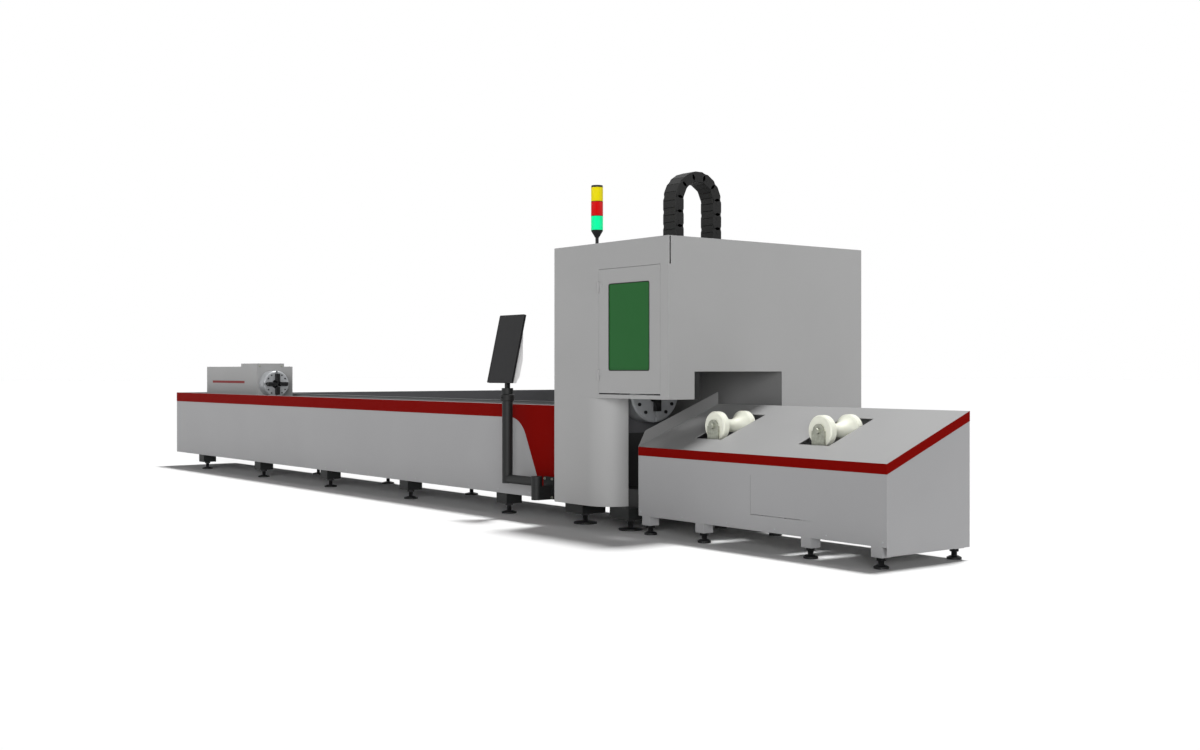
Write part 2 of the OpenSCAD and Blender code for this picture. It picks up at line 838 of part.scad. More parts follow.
// Upright tubes behind the enclosure corners and beside the discharge opening
module enclosure_posts() {
    x0 = x_enc + enc_t;
    x1 = x_out - enc_t;
    color(black) {
        span([x0, y_enc + enc_t, skirt_z], [x0 + post_s, y_enc + enc_t + post_s, roof_z]);
        span([x0, y_base1 - post_s, base_top], [x0 + post_s, y_base1, roof_z]);
        span([x1 - post_s, y_base1 - post_s, base_top], [x1, y_base1, roof_z]);
        span([x1 - post_s, y_enc + exit_y0, brow_z], [x1, y_enc + exit_y0 + post_s, roof_z]);
    }
}

module enclosure_left_wall() {
    color(grey) yz_sheet(x_enc, enc_t) difference() {
        translate([y_enc, skirt_z]) square([enc_w, roof_z - skirt_z]);
        round_rect([y_ax - passage_half, axis_z - passage_half], [y_ax + passage_half, axis_z + passage_half],
                   passage_r);
    }
}

// Discharge wall, stepped over the table, with a slit at the top of its near edge
module enclosure_right_wall() {
    color(grey) yz_sheet(x_out - enc_t, enc_t) difference() {
        polygon([[y_enc, brow_z], [y_enc + exit_y0, brow_z], [y_enc + exit_y0, exit_top],
                 [y_enc + exit_y1, exit_top], [y_enc + exit_y1, skirt_z], [y_back, skirt_z], [y_back, roof_z],
                 [y_enc, roof_z]]);
        translate([y_enc + slit_in, roof_z - slit_h]) square([slit_w, slit_h + cut]);
    }
}

// Rear wall with two groups of louvres
module enclosure_rear_wall() {
    x_mid = (x_enc + x_out) / 2;
    color(grey) difference() {
        span([x_enc + enc_t, y_back - enc_t, skirt_z], [x_out - enc_t, y_back, roof_z]);
        for (s = [-1, 1], i = [0 : louvre_n - 1])
            translate([x_mid + s * louvre_x - louvre_l / 2, y_back - enc_t - cut, louvre_z + i * louvre_pitch])
                cube([louvre_l, enc_t + 2 * cut, louvre_h]);
    }
}

// Roof with the slot that the drag chain stands in
module enclosure_roof() {
    color(grey) difference() {
        span([x_enc, y_enc, roof_z], [x_out, y_back, enc_top]);
        span([x_chain - chain_w / 2 - slot_clear,
              y_chain - chain_span / 2 - head_travel - slot_clear, roof_z - cut],
             [x_chain + chain_w / 2 + slot_clear, y_chain + chain_span / 2 + head_travel + slot_clear,
              enc_top + cut]);
    }
}

module enclosure_front_panel() {
    color(grey) xz_sheet(y_enc, enc_t) difference() {
        translate([x_enc + enc_t, brow_z]) square([enc_l - 2 * enc_t, roof_z - brow_z]);
        translate([x_door0 - door_seam, door_z0 - door_grip])
            square([x_door1 - x_door0 + 2 * door_seam, door_z1 - door_z0 + door_grip + door_seam]);
    }
}

// Lower front sheet that rolls back round the corner beside the table
module enclosure_front_skirt() {
    color(grey) translate([0, 0, skirt_z]) linear_extrude(brow_z - skirt_z) {
        translate([x_enc + enc_t, y_enc]) square([x_roll - x_enc - enc_t, enc_t]);
        translate([x_roll, y_enc + skirt_r]) intersection() {
            difference() {
                circle(skirt_r, $fn = 128);
                circle(skirt_r - enc_t, $fn = 128);
            }
            translate([0, -skirt_r]) square(skirt_r);
        }
    }
}

// Inner wall behind the cutting chamber
module chamber_partition() {
    y0 = y_step - enc_t;
    color(dark_grey) span([x_enc + enc_t, y0, base_top], [x_out - enc_t, y_step, partition_top]);
}

// One half of a lift-off hinge: leaf and barrel to one side of the parting height
module hinge_half(side, upper) {
    z0 = upper ? gap : -hinge_h / 2;
    h = hinge_h / 2 - gap;
    leaf_y = y_enc - y_hinge - leaf_t;
    root = hinge_r - leaf_t / 2;
    translate([0, 0, z0]) {
        difference() {
            cylinder(r = hinge_r, h = h);
            if (upper) translate([0, 0, -cut]) cylinder(r = hinge_pin_r + gap, h = h + 2 * cut);
        }
        translate([side > 0 ? root : -hinge_leaf, leaf_y, 0]) cube([hinge_leaf - root, leaf_t, h]);
    }
}

// Door with folded edges, a window and the upper hinge halves
module front_door() {
    z_mid = window_z + window_h / 2;
    color(grey) {
        difference() {
            span([x_door0, y_enc, door_z0], [x_door1, y_enc + door_fold, door_z1]);
            span([x_door0 + sheet, y_enc + sheet, door_z0 + sheet],
                 [x_door1 - sheet, y_enc + door_fold + cut, door_z1 - sheet]);
            xz_sheet(y_enc - cut, sheet + 2 * cut)
                round_rect([x_window - window_w / 2, z_mid - window_h / 2],
                           [x_window + window_w / 2, z_mid + window_h / 2], window_r);
        }
        for (z = hinge_zs) translate([x_hinge, y_hinge, z]) hinge_half(1, true);
    }
}

module window_pane() {
    w = window_w / 2 + pane_lap;
    color([0.19, 0.39, 0.22]) span([x_window - w, y_enc + sheet, window_z - pane_lap],
                                   [x_window + w, y_enc + sheet + pane_t, window_z + window_h + pane_lap]);
}

// Lower hinge halves on the front panel, with their pins
module door_hinges() {
    color(steel) for (z = hinge_zs) translate([x_hinge, y_hinge, z]) {
        hinge_half(-1, false);
        translate([0, 0, -hinge_h / 2]) cylinder(r = hinge_pin_r, h = hinge_h);
    }
}

// Chuck with its spindle behind it, its face at the origin and four tee slots
module chuck_body(r, len, spindle_r, spindle_l, bore_r) {
    difference() {
        rotate_extrude($fn = 96)
            polygon([[bore_r, 0], [r - chuck_ch, 0], [r, -chuck_ch], [r, -len + chuck_ch], [r - chuck_ch, -len],
                     [spindle_r, -len], [spindle_r, -len - spindle_l], [bore_r, -len - spindle_l]]);
        for (k = [0 : 3]) rotate(k * 90) {
            translate([0, -slot_neck_w / 2, -slot_neck_d]) cube([r + cut, slot_neck_w, slot_neck_d + cut]);
            translate([0, -slot_tee_w / 2, -slot_neck_d - slot_tee_d]) cube([r + cut, slot_tee_w, slot_tee_d]);
        }
    }
}

// Jaw along the radial direction: tee foot, neck and a head with a tapered tip
module jaw(len) {
    foot_in = jaw_in + (slot_tee_w - jaw_tip) / 2;
    translate([foot_in, -slot_tee_w / 2 + gap, -slot_neck_d - slot_tee_d + gap])
        cube([len - foot_in + jaw_in, slot_tee_w - 2 * gap, slot_tee_d - 2 * gap]);
    translate([foot_in, -slot_neck_w / 2 + gap, -slot_neck_d - gap])
        cube([len - foot_in + jaw_in, slot_neck_w - 2 * gap, slot_neck_d + 2 * gap]);
    taper = (jaw_w - jaw_tip) / 2;
    translate([0, 0, gap]) linear_extrude(jaw_h)
        polygon([[jaw_in, -jaw_tip / 2], [jaw_in + taper, -jaw_w / 2], [jaw_in + len, -jaw_w / 2],
                 [jaw_in + len, jaw_w / 2], [jaw_in + taper, jaw_w / 2], [jaw_in, jaw_tip / 2]]);
}

// Spindle housing of the front chuck, arched over the tube axis
module front_chuck_housing() {
    top_r = front_house_half;
    color(dark_grey) yz_sheet(x_front_house - front_house_l, front_house_l) difference() {
        union() {
            translate([y_ax, axis_z]) circle(top_r, $fn = 128);
            translate([y_ax - top_r, pedestal_top]) square([2 * top_r, axis_z - pedestal_top]);
        }
        translate([y_ax, axis_z]) circle(front_spindle_r + gap, $fn = 128);
    }
}

module front_chuck_body() {
    color(steel) on_axis(x_front_face)
        chuck_body(front_r, front_len, front_spindle_r, chuck_gap + front_house_l, front_bore_r);
}

module front_jaw(k) {
    color(black) on_axis(x_front_face) rotate(k * 90) jaw(front_jaw_l);
}

module rear_chuck_body() {
    color(steel) on_axis(x_rear_face)
        chuck_body(rear_r, rear_len, rear_spindle_r, chuck_gap + tall_l - house_t / 2, rear_bore_r);
}

module rear_jaw(k) {
    color(black) on_axis(x_rear_face) rotate(k * 90) jaw(rear_jaw_l);
}

// Column behind the partition and a beam over the front chuck
module gantry() {
    x0 = x_out - gantry_in;
    color(dark_grey) {
        span([x0, y_step, base_top], [x_beam1, y_step + column_d, gantry_top]);
        span([x0, y_ax - gantry_reach, beam_z0], [x_beam1, y_step + cut, gantry_top]);
        translate([x0 + gantry_w / 2 - beam_wall, 0, 0]) yz_sheet(0, 2 * beam_wall)
            polygon([[y_step + cut, beam_z0 + cut], [y_step + cut, partition_top + partition_off],
                     [y_step - rib, beam_z0 + cut]]);
    }
}

// Guide block round a small rail, open towards the rail
module mini_block() {
    difference() {
        translate([-mini_w, -block_l / 2, mini_lift])
            cube([2 * mini_w, block_l, mini_h + mini_top - mini_lift]);
        translate([-mini_w / 2 - gap, -block_l / 2 - cut, 0])
            cube([mini_w + 2 * gap, block_l + 2 * cut, mini_h + gap]);
    }
}

// Slide across the tube: plate, guide blocks, upright rails and the fixed seat of the drag chain
module cross_slide() {
    y_leg = y_chain + chain_r;
    y_side = y_ax + saddle_half;
    color(steel) {
        span([x_saddle, y_ax - saddle_half, saddle_z0], [x_zrail, y_ax + saddle_half, saddle_z0 + saddle_h]);
        for (z = [beam_z0 + mini_edge, gantry_top - mini_edge], s = [-1, 1])
            translate([x_beam1, y_ax + s * (saddle_half - block_l / 2), z]) rotate([0, 90, 0]) mini_block();
        for (s = [-1, 1]) translate([x_zrail, y_ax + s * zrail_y, saddle_z0]) rotate([0, 0, -90])
            linear_extrude(saddle_h) rail_section(mini_w, mini_h);
        span([x_saddle, y_side - cut, z_seat - seat_h], [x_zrail, y_leg + chain_h / 2, z_seat]);
        span([x_saddle, y_side - cut, saddle_z0], [x_zrail, y_side + 2 * slide_t, z_seat]);
        span([x_saddle, y_leg - chain_h / 2, z_seat - slide_t],
             [x_chain + chain_w / 2, y_leg + chain_h / 2, z_seat]);
    }
}

// Vertical slide: plate, guide blocks, head clamp and the moving seat of the drag chain
module vertical_slide() {
    y_leg = y_chain - chain_r;
    x1 = x_zslide + slide_t;
    block_zs = [saddle_z0 + block_l / 2 + head_down, saddle_z0 + saddle_h - block_l / 2 - head_up];
    color(dark_grey) {
        span([x_zslide, y_ax - zslide_half, zslide_z0], [x1, y_ax + zslide_half, zslide_z1]);
        for (s = [-1, 1], z = block_zs)
            translate([x_zrail, y_ax + s * zrail_y, z]) rotate([90, 0, 90]) mini_block();
        for (z = [zslide_z0 + clamp_h / 2, head_top - 2 * clamp_h]) difference() {
            span([x1 - cut, y_ax - head_r - clamp_wall, z],
                 [x_head + head_r / 2, y_ax + head_r + clamp_wall, z + clamp_h]);
            translate([x_head, y_ax, z - cut]) cylinder(r = head_r, h = clamp_h + 2 * cut);
        }
        span([x_zslide, y_leg - chain_h / 2, z_seat - slide_t],
             [x_chain + chain_w / 2, y_leg + chain_h / 2, z_seat]);
        span([x_zslide, y_leg - chain_h / 2, zslide_z1 - seat_h], [x1, y_leg + chain_h / 2, z_seat]);
    }
}

// Cutting head: collimator, focus barrel, sensor body and nozzle in one turned stack
module cutting_head() {
    barrel_z0 = nozzle_z + nozzle_h;
    color(black) translate([x_head, y_ax, 0]) {
        translate([0, 0, nozzle_z]) cylinder(r1 = nozzle_r, r2 = head_r / 2, h = nozzle_h / 2);
        translate([0, 0, nozzle_z + nozzle_h / 2])
            cylinder(r1 = neck_r, r2 = (neck_r + head_r) / 2, h = nozzle_h / 2);
        translate([0, 0, barrel_z0]) cylinder(r = head_r, h = head_top - barrel_z0);
        translate([0, 0, head_top]) cylinder(r = neck_r, h = plug_h);
    }
}

// Place of the joint between two links, counted along the chain from the front leg
function bend_angle(i) = 180 - (i - leg_n) * 180 / bend_n;
function joint_at(i) =
    i <= leg_n ? [-chain_r, -(leg_n - i) * link_p]
    : i >= leg_n + bend_n ? [chain_r, -(i - leg_n - bend_n) * link_p]
    : chain_r * [cos(bend_angle(i)), sin(bend_angle(i))];

// Side plate of one link: a bar with a round lug at each end
module link_plate(l, r) {
    circle(lug_r);
    translate([l, 0]) circle(lug_r);
    translate([0, -r]) square([l, 2 * r]);
}

// Chain of links bent into an upright U, with outer and inner links in turn
module drag_chain() {
    color([0.16, 0.16, 0.16]) translate([x_chain, y_chain, z_bend]) for (i = [0 : chain_n - 1]) {
        a = joint_at(i);
        b = joint_at(i + 1);
        l = norm(b - a);
        inner = i % 2;
        half = chain_w / 2 - inner * (plate_t + gap);
        r = chain_h / 2 - inner * link_step;
        translate([0, a.x, a.y]) rotate([atan2(b.y - a.y, b.x - a.x), 0, 0]) {
            for (x = [-half, half - plate_t]) yz_sheet(x, plate_t) link_plate(l, r);
            for (z = [-r, r - bar_t])
                translate([-half, l * (1 - bar_share) / 2, z]) cube([2 * half, l * bar_share, bar_t]);
        }
    }
}

// Places a piece on the axis of the light tower
module on_tower(z) {
    translate([x_out - tower_in, y_enc + tower_y, z]) children();
}

// Pole, tapered base and cap
module tower_body() {
    color(black) {
        on_tower(enc_top) cylinder(d = pole_d, h = pole_l + cut);
        on_tower(enc_top) cylinder(d = flange_d, h = flange_t);
        on_tower(z_cone) cylinder(d1 = pole_d + 2 * groove_d, d2 = tower_d, h = cone_h);
        on_tower(z_lamp + 3 * lamp_h) cylinder(d1 = tower_d, d2 = tower_d - 2 * groove_d, h = cap_h);
    }
}

// Lamp ring with a groove at its foot
module lamp(k) {
    r = tower_d / 2;
    on_tower(z_lamp + k * lamp_h) rotate_extrude()
        polygon([[0, 0], [r - groove_d, 0], [r - groove_d, groove_h], [r, groove_h],
                 [r, lamp_h], [0, lamp_h]]);
}

module tower_green() {
    color([0.02, 0.85, 0.5]) lamp(0);
}

module tower_red() {
    color([0.85, 0.03, 0.05]) lamp(1);
}

module tower_yellow() {
    color([0.97, 0.82, 0.08]) lamp(2);
}

// Bracket on the bed front with the upright pin that the arm turns on
module arm_bracket() {
    y_seat = y_bed0 - trim_t;
    z_rest = arm_z - arm_d / 2 - gap;
    color(black) {
        span([x_pivot - bracket_w / 2, y_seat - bracket_t, skirt_z],
             [x_pivot + bracket_w / 2, y_seat, z_rest + arm_d]);
        span([x_pivot - post_d / 2, y_post, skirt_z], [x_pivot + post_d / 2, y_seat, z_rest]);
        translate([x_pivot, y_post, skirt_z]) cylinder(d = post_d, h = z_rest - skirt_z);
        translate([x_pivot, y_post, z_rest - cut]) cylinder(r = pivot_r, h = arm_d + cut);
    }
}

// Arm and post in one bent tube, with the pivot barrel at its root
module monitor_arm() {
    color(black) difference() {
        union() {
            translate([x_pivot, y_post, arm_z - arm_d / 2]) cylinder(d = post_d, h = arm_d + arm_cap);
            translate([x_post, y_post, arm_z]) rotate([0, 90, 0]) cylinder(d = arm_d, h = arm_l);
            translate([x_post, y_post, arm_z - arm_d / 2])
                cylinder(d = post_d, h = post_top - arm_z + arm_d / 2);
        }
        translate([x_pivot, y_post, arm_z - arm_d / 2 - cut]) cylinder(r = pivot_r + gap, h = arm_d + cut);
        translate([x_post, y_post, post_top - collar_h]) cylinder(r = pivot_r + gap, h = collar_h + cut);
    }
}

// Collar on the post with the neck and pin of the tilt joint
module monitor_swivel() {
    color(black) translate([x_post, y_post, 0]) {
        translate([0, 0, post_top + gap]) cylinder(d = collar_d, h = collar_h);
        translate([0, 0, post_top - collar_h + arm_cap]) cylinder(r = pivot_r, h = collar_h);
        span([-neck_w / 2, -neck_d / 2, post_top + gap + collar_h - cut], [neck_w / 2, neck_d / 2, tilt_z]);
        translate([-neck_w / 2, 0, tilt_z]) rotate([0, 90, 0]) cylinder(d = neck_d, h = neck_w);
        translate([-neck_w / 2 - tilt_out, 0, tilt_z]) rotate([0, 90, 0])
            cylinder(r = tilt_r, h = neck_w + 2 * tilt_out);
    }
}

// Places a piece in the frame of the tilted screen, with the tilt pin as its origin
module on_screen() {
    translate([x_post, y_post, tilt_z]) rotate([-screen_tilt, 0, 0]) children();
}

// Housing behind the screen, with a pocket for the neck and bores for the tilt pin
module monitor_housing() {
    y0 = -screen_d + screen_t;
    bottom = shell_in - screen_low;
    top = screen_h - screen_low - shell_slope;
    pocket = neck_w / 2 + 2 * gap;
    color([0.88, 0.88, 0.88]) on_screen() difference() {
        yz_sheet(-shell_w / 2, shell_w)
            polygon([[y0, bottom], [shell_back / 2, bottom], [shell_back, bottom + shell_slope],
                     [shell_back, shell_slope], [y0 + shell_in, top], [y0, top]]);
        span([-pocket, y0 + shell_wall, -screen_low], [pocket, shell_back + cut, neck_d]);
        translate([-neck_w / 2 - tilt_out - gap, 0, 0]) rotate([0, 90, 0])
            cylinder(r = tilt_r + gap, h = neck_w + 2 * (tilt_out + gap));
    }
}

// Screen panel with round corners and a shallow display field
module monitor_screen() {
    color([0.2, 0.2, 0.21]) on_screen() difference() {
        xz_sheet(-screen_d, screen_t)
            round_rect([-screen_w / 2, -screen_low], [screen_w / 2, screen_h - screen_low], screen_r);
        span([-screen_w / 2 + bezel, -screen_d - cut, -screen_low + bezel],
             [screen_w / 2 - bezel, -screen_d + display_in, screen_h - screen_low - bezel]);
    }
}

// Outline of the table ends between two heights above and below the slope
module table_side(low, lift) {
    polygon([[y_tab0, low], [y_tab1, low], [y_tab1, slope_z1 + lift], [y_tab0, slope_z0 + lift]]);
}

// Legs, rails and the lift cylinders of the rollers
module table_frame() {
    color(grey) {
        intersection() {
            for (x = leg_xs, y = leg_ys) translate([x, y, leg_z]) difference() {
                cube([leg_s, leg_s, slope_z1]);
                translate([leg_t, leg_t, stud_in + 2 * leg_t])
                    cube([leg_s - 2 * leg_t, leg_s - 2 * leg_t, slope_z1]);
                translate([leg_s / 2, leg_s / 2, -cut])
                    cylinder(d = stud_d + 2 * gap, h = stud_in + gap + cut);
            }
            yz_sheet(x_tab, x_end - x_tab) table_side(leg_z - cut, -top_drop);
        }
        for (y = [leg_ys[0] + (leg_s - bearer_s) / 2, leg_ys[1] + (leg_s - bearer_s) / 2])
            for (i = [0 : 2]) span([leg_xs[i] + leg_s - cut, y, bearer_z - bearer_s],
                                   [leg_xs[i + 1] + cut, y + bearer_s, bearer_z]);
        for (x = roller_xs) difference() {
            union() {
                span([x - bearer_s, leg_ys[0] + bearer_s, bearer_z - bearer_s],
                     [x + bearer_s, leg_ys[1] + bearer_s / 2, bearer_z]);
                translate([x, y_ax, bearer_z - cut])
                    cylinder(r = cylinder_r, h = cylinder_top - bearer_z + cut);
            }
            translate([x, y_ax, bearer_z]) cylinder(r = rod_r + gap, h = cylinder_top - bearer_z + cut);
        }
    }
}

// Front panel with a seam between its two halves and an access panel line
module table_front_panel() {
    x_mid = (x_tab + x_end) / 2;
    color(grey) xz_sheet(y_tab0, sheet) difference() {
        translate([x_tab + sheet, front_low])
            square([x_end - x_tab - 2 * sheet, slope_z0 - top_drop - front_low]);
        translate([x_mid, seam_z]) square([seam_w, slope_z0 - table_stripe - seam_z - seam_top]);
        translate([x_mid, seam_z]) square([x_end - leg_mid - x_mid, seam_w]);
    }
}

// End panel with a leg plate at its near corner
module table_end_panel() {
    color(grey) yz_sheet(x_end - sheet, sheet) table_side(end_low, -top_drop);
}

module table_back_panel() {
    color(grey) span([x_tab + sheet, y_tab1 - sheet, front_low],
                     [x_end - sheet, y_tab1, slope_z1 - sheet * slope - top_drop]);
}

// Sloped top with two roller slots
module table_top() {
    color(grey) difference() {
        yz_sheet(x_tab + sheet, x_end - x_tab - sheet)
            polygon([[y_tab0, slope_z0 - top_drop], [y_tab1, slope_z1 - top_drop], [y_tab1, slope_z1],
                     [y_tab0, slope_z0]]);
        for (x = roller_xs) span([x - hole_w / 2, y_ax - hole_half, slope_z0 - top_drop],
                                 [x + hole_w / 2, y_ax + hole_half, slope_z1]);
    }
}

// Inner end plate that stands above the slope as a fence
module table_fence() {
    color(grey) yz_sheet(x_tab, sheet)
        polygon([[y_tab0, inner_low], [y_tab1, inner_low], [y_tab1, slope_z1 + fence_h],
                 [y_tab0 + fence_ch, slope_z(y_tab0 + fence_ch) + fence_h], [y_tab0, slope_z0 + sheet]]);
}

// Red stripe along the front and up the sloped end
module table_trim() {
    color(red) {
        span([x_tab + sheet, y_tab0 - trim_t, slope_z0 - table_stripe], [x_end + trim_t, y_tab0, slope_z0]);
        yz_sheet(x_end, trim_t)
            polygon([[y_tab0 - cut, slope_z0 - table_stripe], [y_tab1, slope_z1 - table_stripe], [y_tab1, slope_z1],
                     [y_tab0 - cut, slope_z0]]);
    }
}

// Lift of one roller: rod, cross plate, two bracket plates and the roller shaft
module roller_lift(x) {
    color([0.63, 0.64, 0.59]) translate([x, y_ax, 0]) {
        translate([0, 0, bearer_z + gap]) cylinder(r = rod_r, h = fork_z0 - bearer_z);
        span([-fork_w / 2, -fork_y - fork_t, fork_z0], [fork_w / 2, fork_y + fork_t, fork_z0 + fork_t]);
        for (y = [-fork_y - fork_t, fork_y]) xz_sheet(y, fork_t) {
            translate([-fork_w / 2, fork_z0 + cut]) square([fork_w, roller_z - fork_z0 - cut]);
            translate([0, roller_z]) circle(fork_w / 2 - fork_in);
        }
        translate([0, -fork_y - fork_t, roller_z]) rotate([-90, 0, 0])
            cylinder(r = shaft_r, h = 2 * (fork_y + fork_t));
    }
}

// Roller with two broad rims and a waist turned on one arc
module table_roller(x) {
    half = roller_l / 2;
    waist = half - roller_rim;
    end_r = roller_r - rim_step;
    drop = end_r - waist_r;
    arc_r = (waist * waist + drop * drop) / (2 * drop);
    color(ivory) translate([x, y_ax, roller_z]) rotate([-90, 0, 0]) rotate_extrude($fn = 96) difference() {
        polygon([[shaft_r + gap, -half], [end_r, -half], [roller_r, rim_step - half],
                 [roller_r, -waist - rim_step], [end_r, -waist], [end_r, waist],
                 [roller_r, waist + rim_step], [roller_r, half - rim_step], [end_r, half],
                 [shaft_r + gap, half]]);
        translate([waist_r + arc_r, 0]) circle(arc_r, $fn = 128);
    }
}

// Guide block round a bed rail, open below
module guide_block() {
    difference() {
        translate([-gblock_l / 2, -gblock_w / 2, gblock_z]) cube([gblock_l, gblock_w, gblock_h]);
        translate([-gblock_l / 2 - cut, -rail_w / 2 - gap, 0])
            cube([gblock_l + 2 * cut, rail_w + 2 * gap, rail_h + gap]);
    }
}

// Carriage plate on four guide blocks
module carriage_base() {
    color(dark_grey) {
        span([x_carriage, y_ax - plate_half, plate_z0], [x_tall1, y_ax + plate_half, plate_z1]);
        for (x = [x_carriage + gblock_l, x_tall1 - gblock_l], s = [-1, 1])
            translate([x, y_ax + s * rail_y, beam_top]) guide_block();
    }
}

// Cast chuck housing, open below, bored front and back for the spindle
module carriage_housing() {
    color(grey) difference() {
        span([x_low1, y_ax - box_front, plate_z1], [x_tall1, y_ax + tall_back, tall_top]);
        span([x_low1 + house_t, y_ax - box_front + house_t, plate_z1 - cut],
             [x_tall1 - house_t, y_ax + tall_back - house_t, tall_top - house_t]);
        on_axis(x_low1 + cut) cylinder(r = rear_spindle_r + gap, h = tall_l);
    }
}

// Low box over the drive, stepped round the back of the chuck housing
module carriage_low_box() {
    color(grey) difference() {
        union() {
            span([x_carriage, y_ax - box_front, plate_z1], [x_low1, y_ax + low_back, low_top]);
            span([x_low1 - cut, y_ax + tall_back, plate_z1], [x_tall1, y_ax + low_back, low_top]);
        }
        span([x_carriage + sheet, y_ax - box_front + sheet, plate_z1 - cut],
             [x_low1 - sheet, y_ax + low_back - sheet, low_top - sheet]);
        span([x_low1 - 2 * sheet, y_ax + tall_back + sheet, plate_z1 - cut],
             [x_tall1 - sheet, y_ax + low_back - sheet, low_top - sheet]);
    }
}

bed_frame();
bed_front_panel();
bed_front_trim();
bed_rear_panel();
bed_rear_guard();
bed_end_panel();
rails_and_rack();
foot_blocks();
levelling_feet();
base_frame();
enclosure_posts();
enclosure_left_wall();
enclosure_right_wall();
enclosure_rear_wall();
enclosure_roof();
enclosure_front_panel();
enclosure_front_skirt();
chamber_partition();
front_door();
window_pane();
door_hinges();
front_chuck_housing();
front_chuck_body();
front_jaw(0);  // front_jaw_1
front_jaw(1);  // front_jaw_2
front_jaw(2);  // front_jaw_3
front_jaw(3);  // front_jaw_4
gantry();
cross_slide();
vertical_slide();
cutting_head();
drag_chain();
tower_body();
tower_green();
tower_red();
tower_yellow();
arm_bracket();
monitor_arm();
monitor_swivel();
monitor_housing();
monitor_screen();
table_frame();
table_front_panel();
table_end_panel();
table_back_panel();
table_top();
table_fence();
table_trim();
roller_lift(roller_xs[0]);  // roller_lift_1
roller_lift(roller_xs[1]);  // roller_lift_2
table_roller(roller_xs[0]);  // table_roller_1
table_roller(roller_xs[1]);  // table_roller_2
carriage_base();
carriage_housing();
carriage_low_box();
rear_chuck_body();
rear_jaw(0);  // rear_jaw_1
rear_jaw(1);  // rear_jaw_2
rear_jaw(2);  // rear_jaw_3
rear_jaw(3);  // rear_jaw_4
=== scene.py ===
"""Finishes and small fittings of a fiber laser tube cutting machine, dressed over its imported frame."""
import json
import math

import bmesh
import bpy
from mathutils import Matrix, Vector


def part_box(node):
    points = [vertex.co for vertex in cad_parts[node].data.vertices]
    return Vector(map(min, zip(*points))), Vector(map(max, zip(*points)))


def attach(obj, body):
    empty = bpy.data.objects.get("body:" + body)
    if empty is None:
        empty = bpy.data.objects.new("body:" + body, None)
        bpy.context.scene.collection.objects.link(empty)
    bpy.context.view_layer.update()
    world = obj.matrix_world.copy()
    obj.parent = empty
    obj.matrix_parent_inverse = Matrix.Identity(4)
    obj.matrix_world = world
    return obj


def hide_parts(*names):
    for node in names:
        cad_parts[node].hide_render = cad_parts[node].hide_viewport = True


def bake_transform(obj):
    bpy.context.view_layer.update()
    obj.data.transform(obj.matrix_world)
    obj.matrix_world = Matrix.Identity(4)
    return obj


bl_info = {
    "name": "Tube laser cutting machine",
    "version": (1, 0, 0),
    "blender": (4, 5, 0),
    "location": "View3D > Sidebar > Machine",
    "description": "Paints a tube laser cutting machine and adds its small fittings",
    "category": "Object",
}

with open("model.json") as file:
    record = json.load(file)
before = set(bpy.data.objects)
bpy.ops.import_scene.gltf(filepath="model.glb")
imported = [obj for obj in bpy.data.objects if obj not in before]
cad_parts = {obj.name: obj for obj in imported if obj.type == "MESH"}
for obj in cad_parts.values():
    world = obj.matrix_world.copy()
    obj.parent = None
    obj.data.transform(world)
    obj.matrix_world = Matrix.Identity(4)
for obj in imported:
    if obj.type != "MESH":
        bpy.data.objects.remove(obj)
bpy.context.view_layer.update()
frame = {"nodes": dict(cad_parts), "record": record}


# Places read from the frame

def low(node):
    """Lowest corner of a node."""
    return Vector(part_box(node)[0])


def high(node):
    """Highest corner of a node."""
    return Vector(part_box(node)[1])


def centre(node):
    """Middle of a node's box."""
    return (low(node) + high(node)) / 2


AXIS_Y = centre("rear_chuck_body").y
AXIS_Z = centre("rear_chuck_body").z
# Heights that the pads and the lock nuts take up on the levelling studs, which are bare between them
PAD_H = 0.024
NUT_H = 0.021
STUD_FROM = low("levelling_feet").z + PAD_H
STUD_TO = low("foot_blocks").z - NUT_H
# Painted line of the carriage: its height above the low box's lower edge, and its width
LINE_RISE = 0.189
LINE_W = 0.028
# Distances of its two ends from the left ends of the low box and of the housing
LINE_START = 0.18
LINE_STOP = 0.10
# Points closer than this are at the same place
TOUCH = 1e-6
# Faces that turn by more than this meet in a sharp edge
SHARP = math.radians(35)


# User settings

def colour(name, description, default):
    """A colour setting, written as it shows on a screen."""
    return bpy.props.FloatVectorProperty(
        name=name, description=description, default=default, subtype="COLOR_GAMMA",
        size=3, min=0.0, max=1.0)


def length(name, description, default):
    """A size setting in metres."""
    return bpy.props.FloatProperty(
        name=name, description=description, default=default, unit="LENGTH", min=0.0)


def strength(name, description, default):
    """A setting for the strength of a light."""
    return bpy.props.FloatProperty(name=name, description=description, default=default, min=0.0)


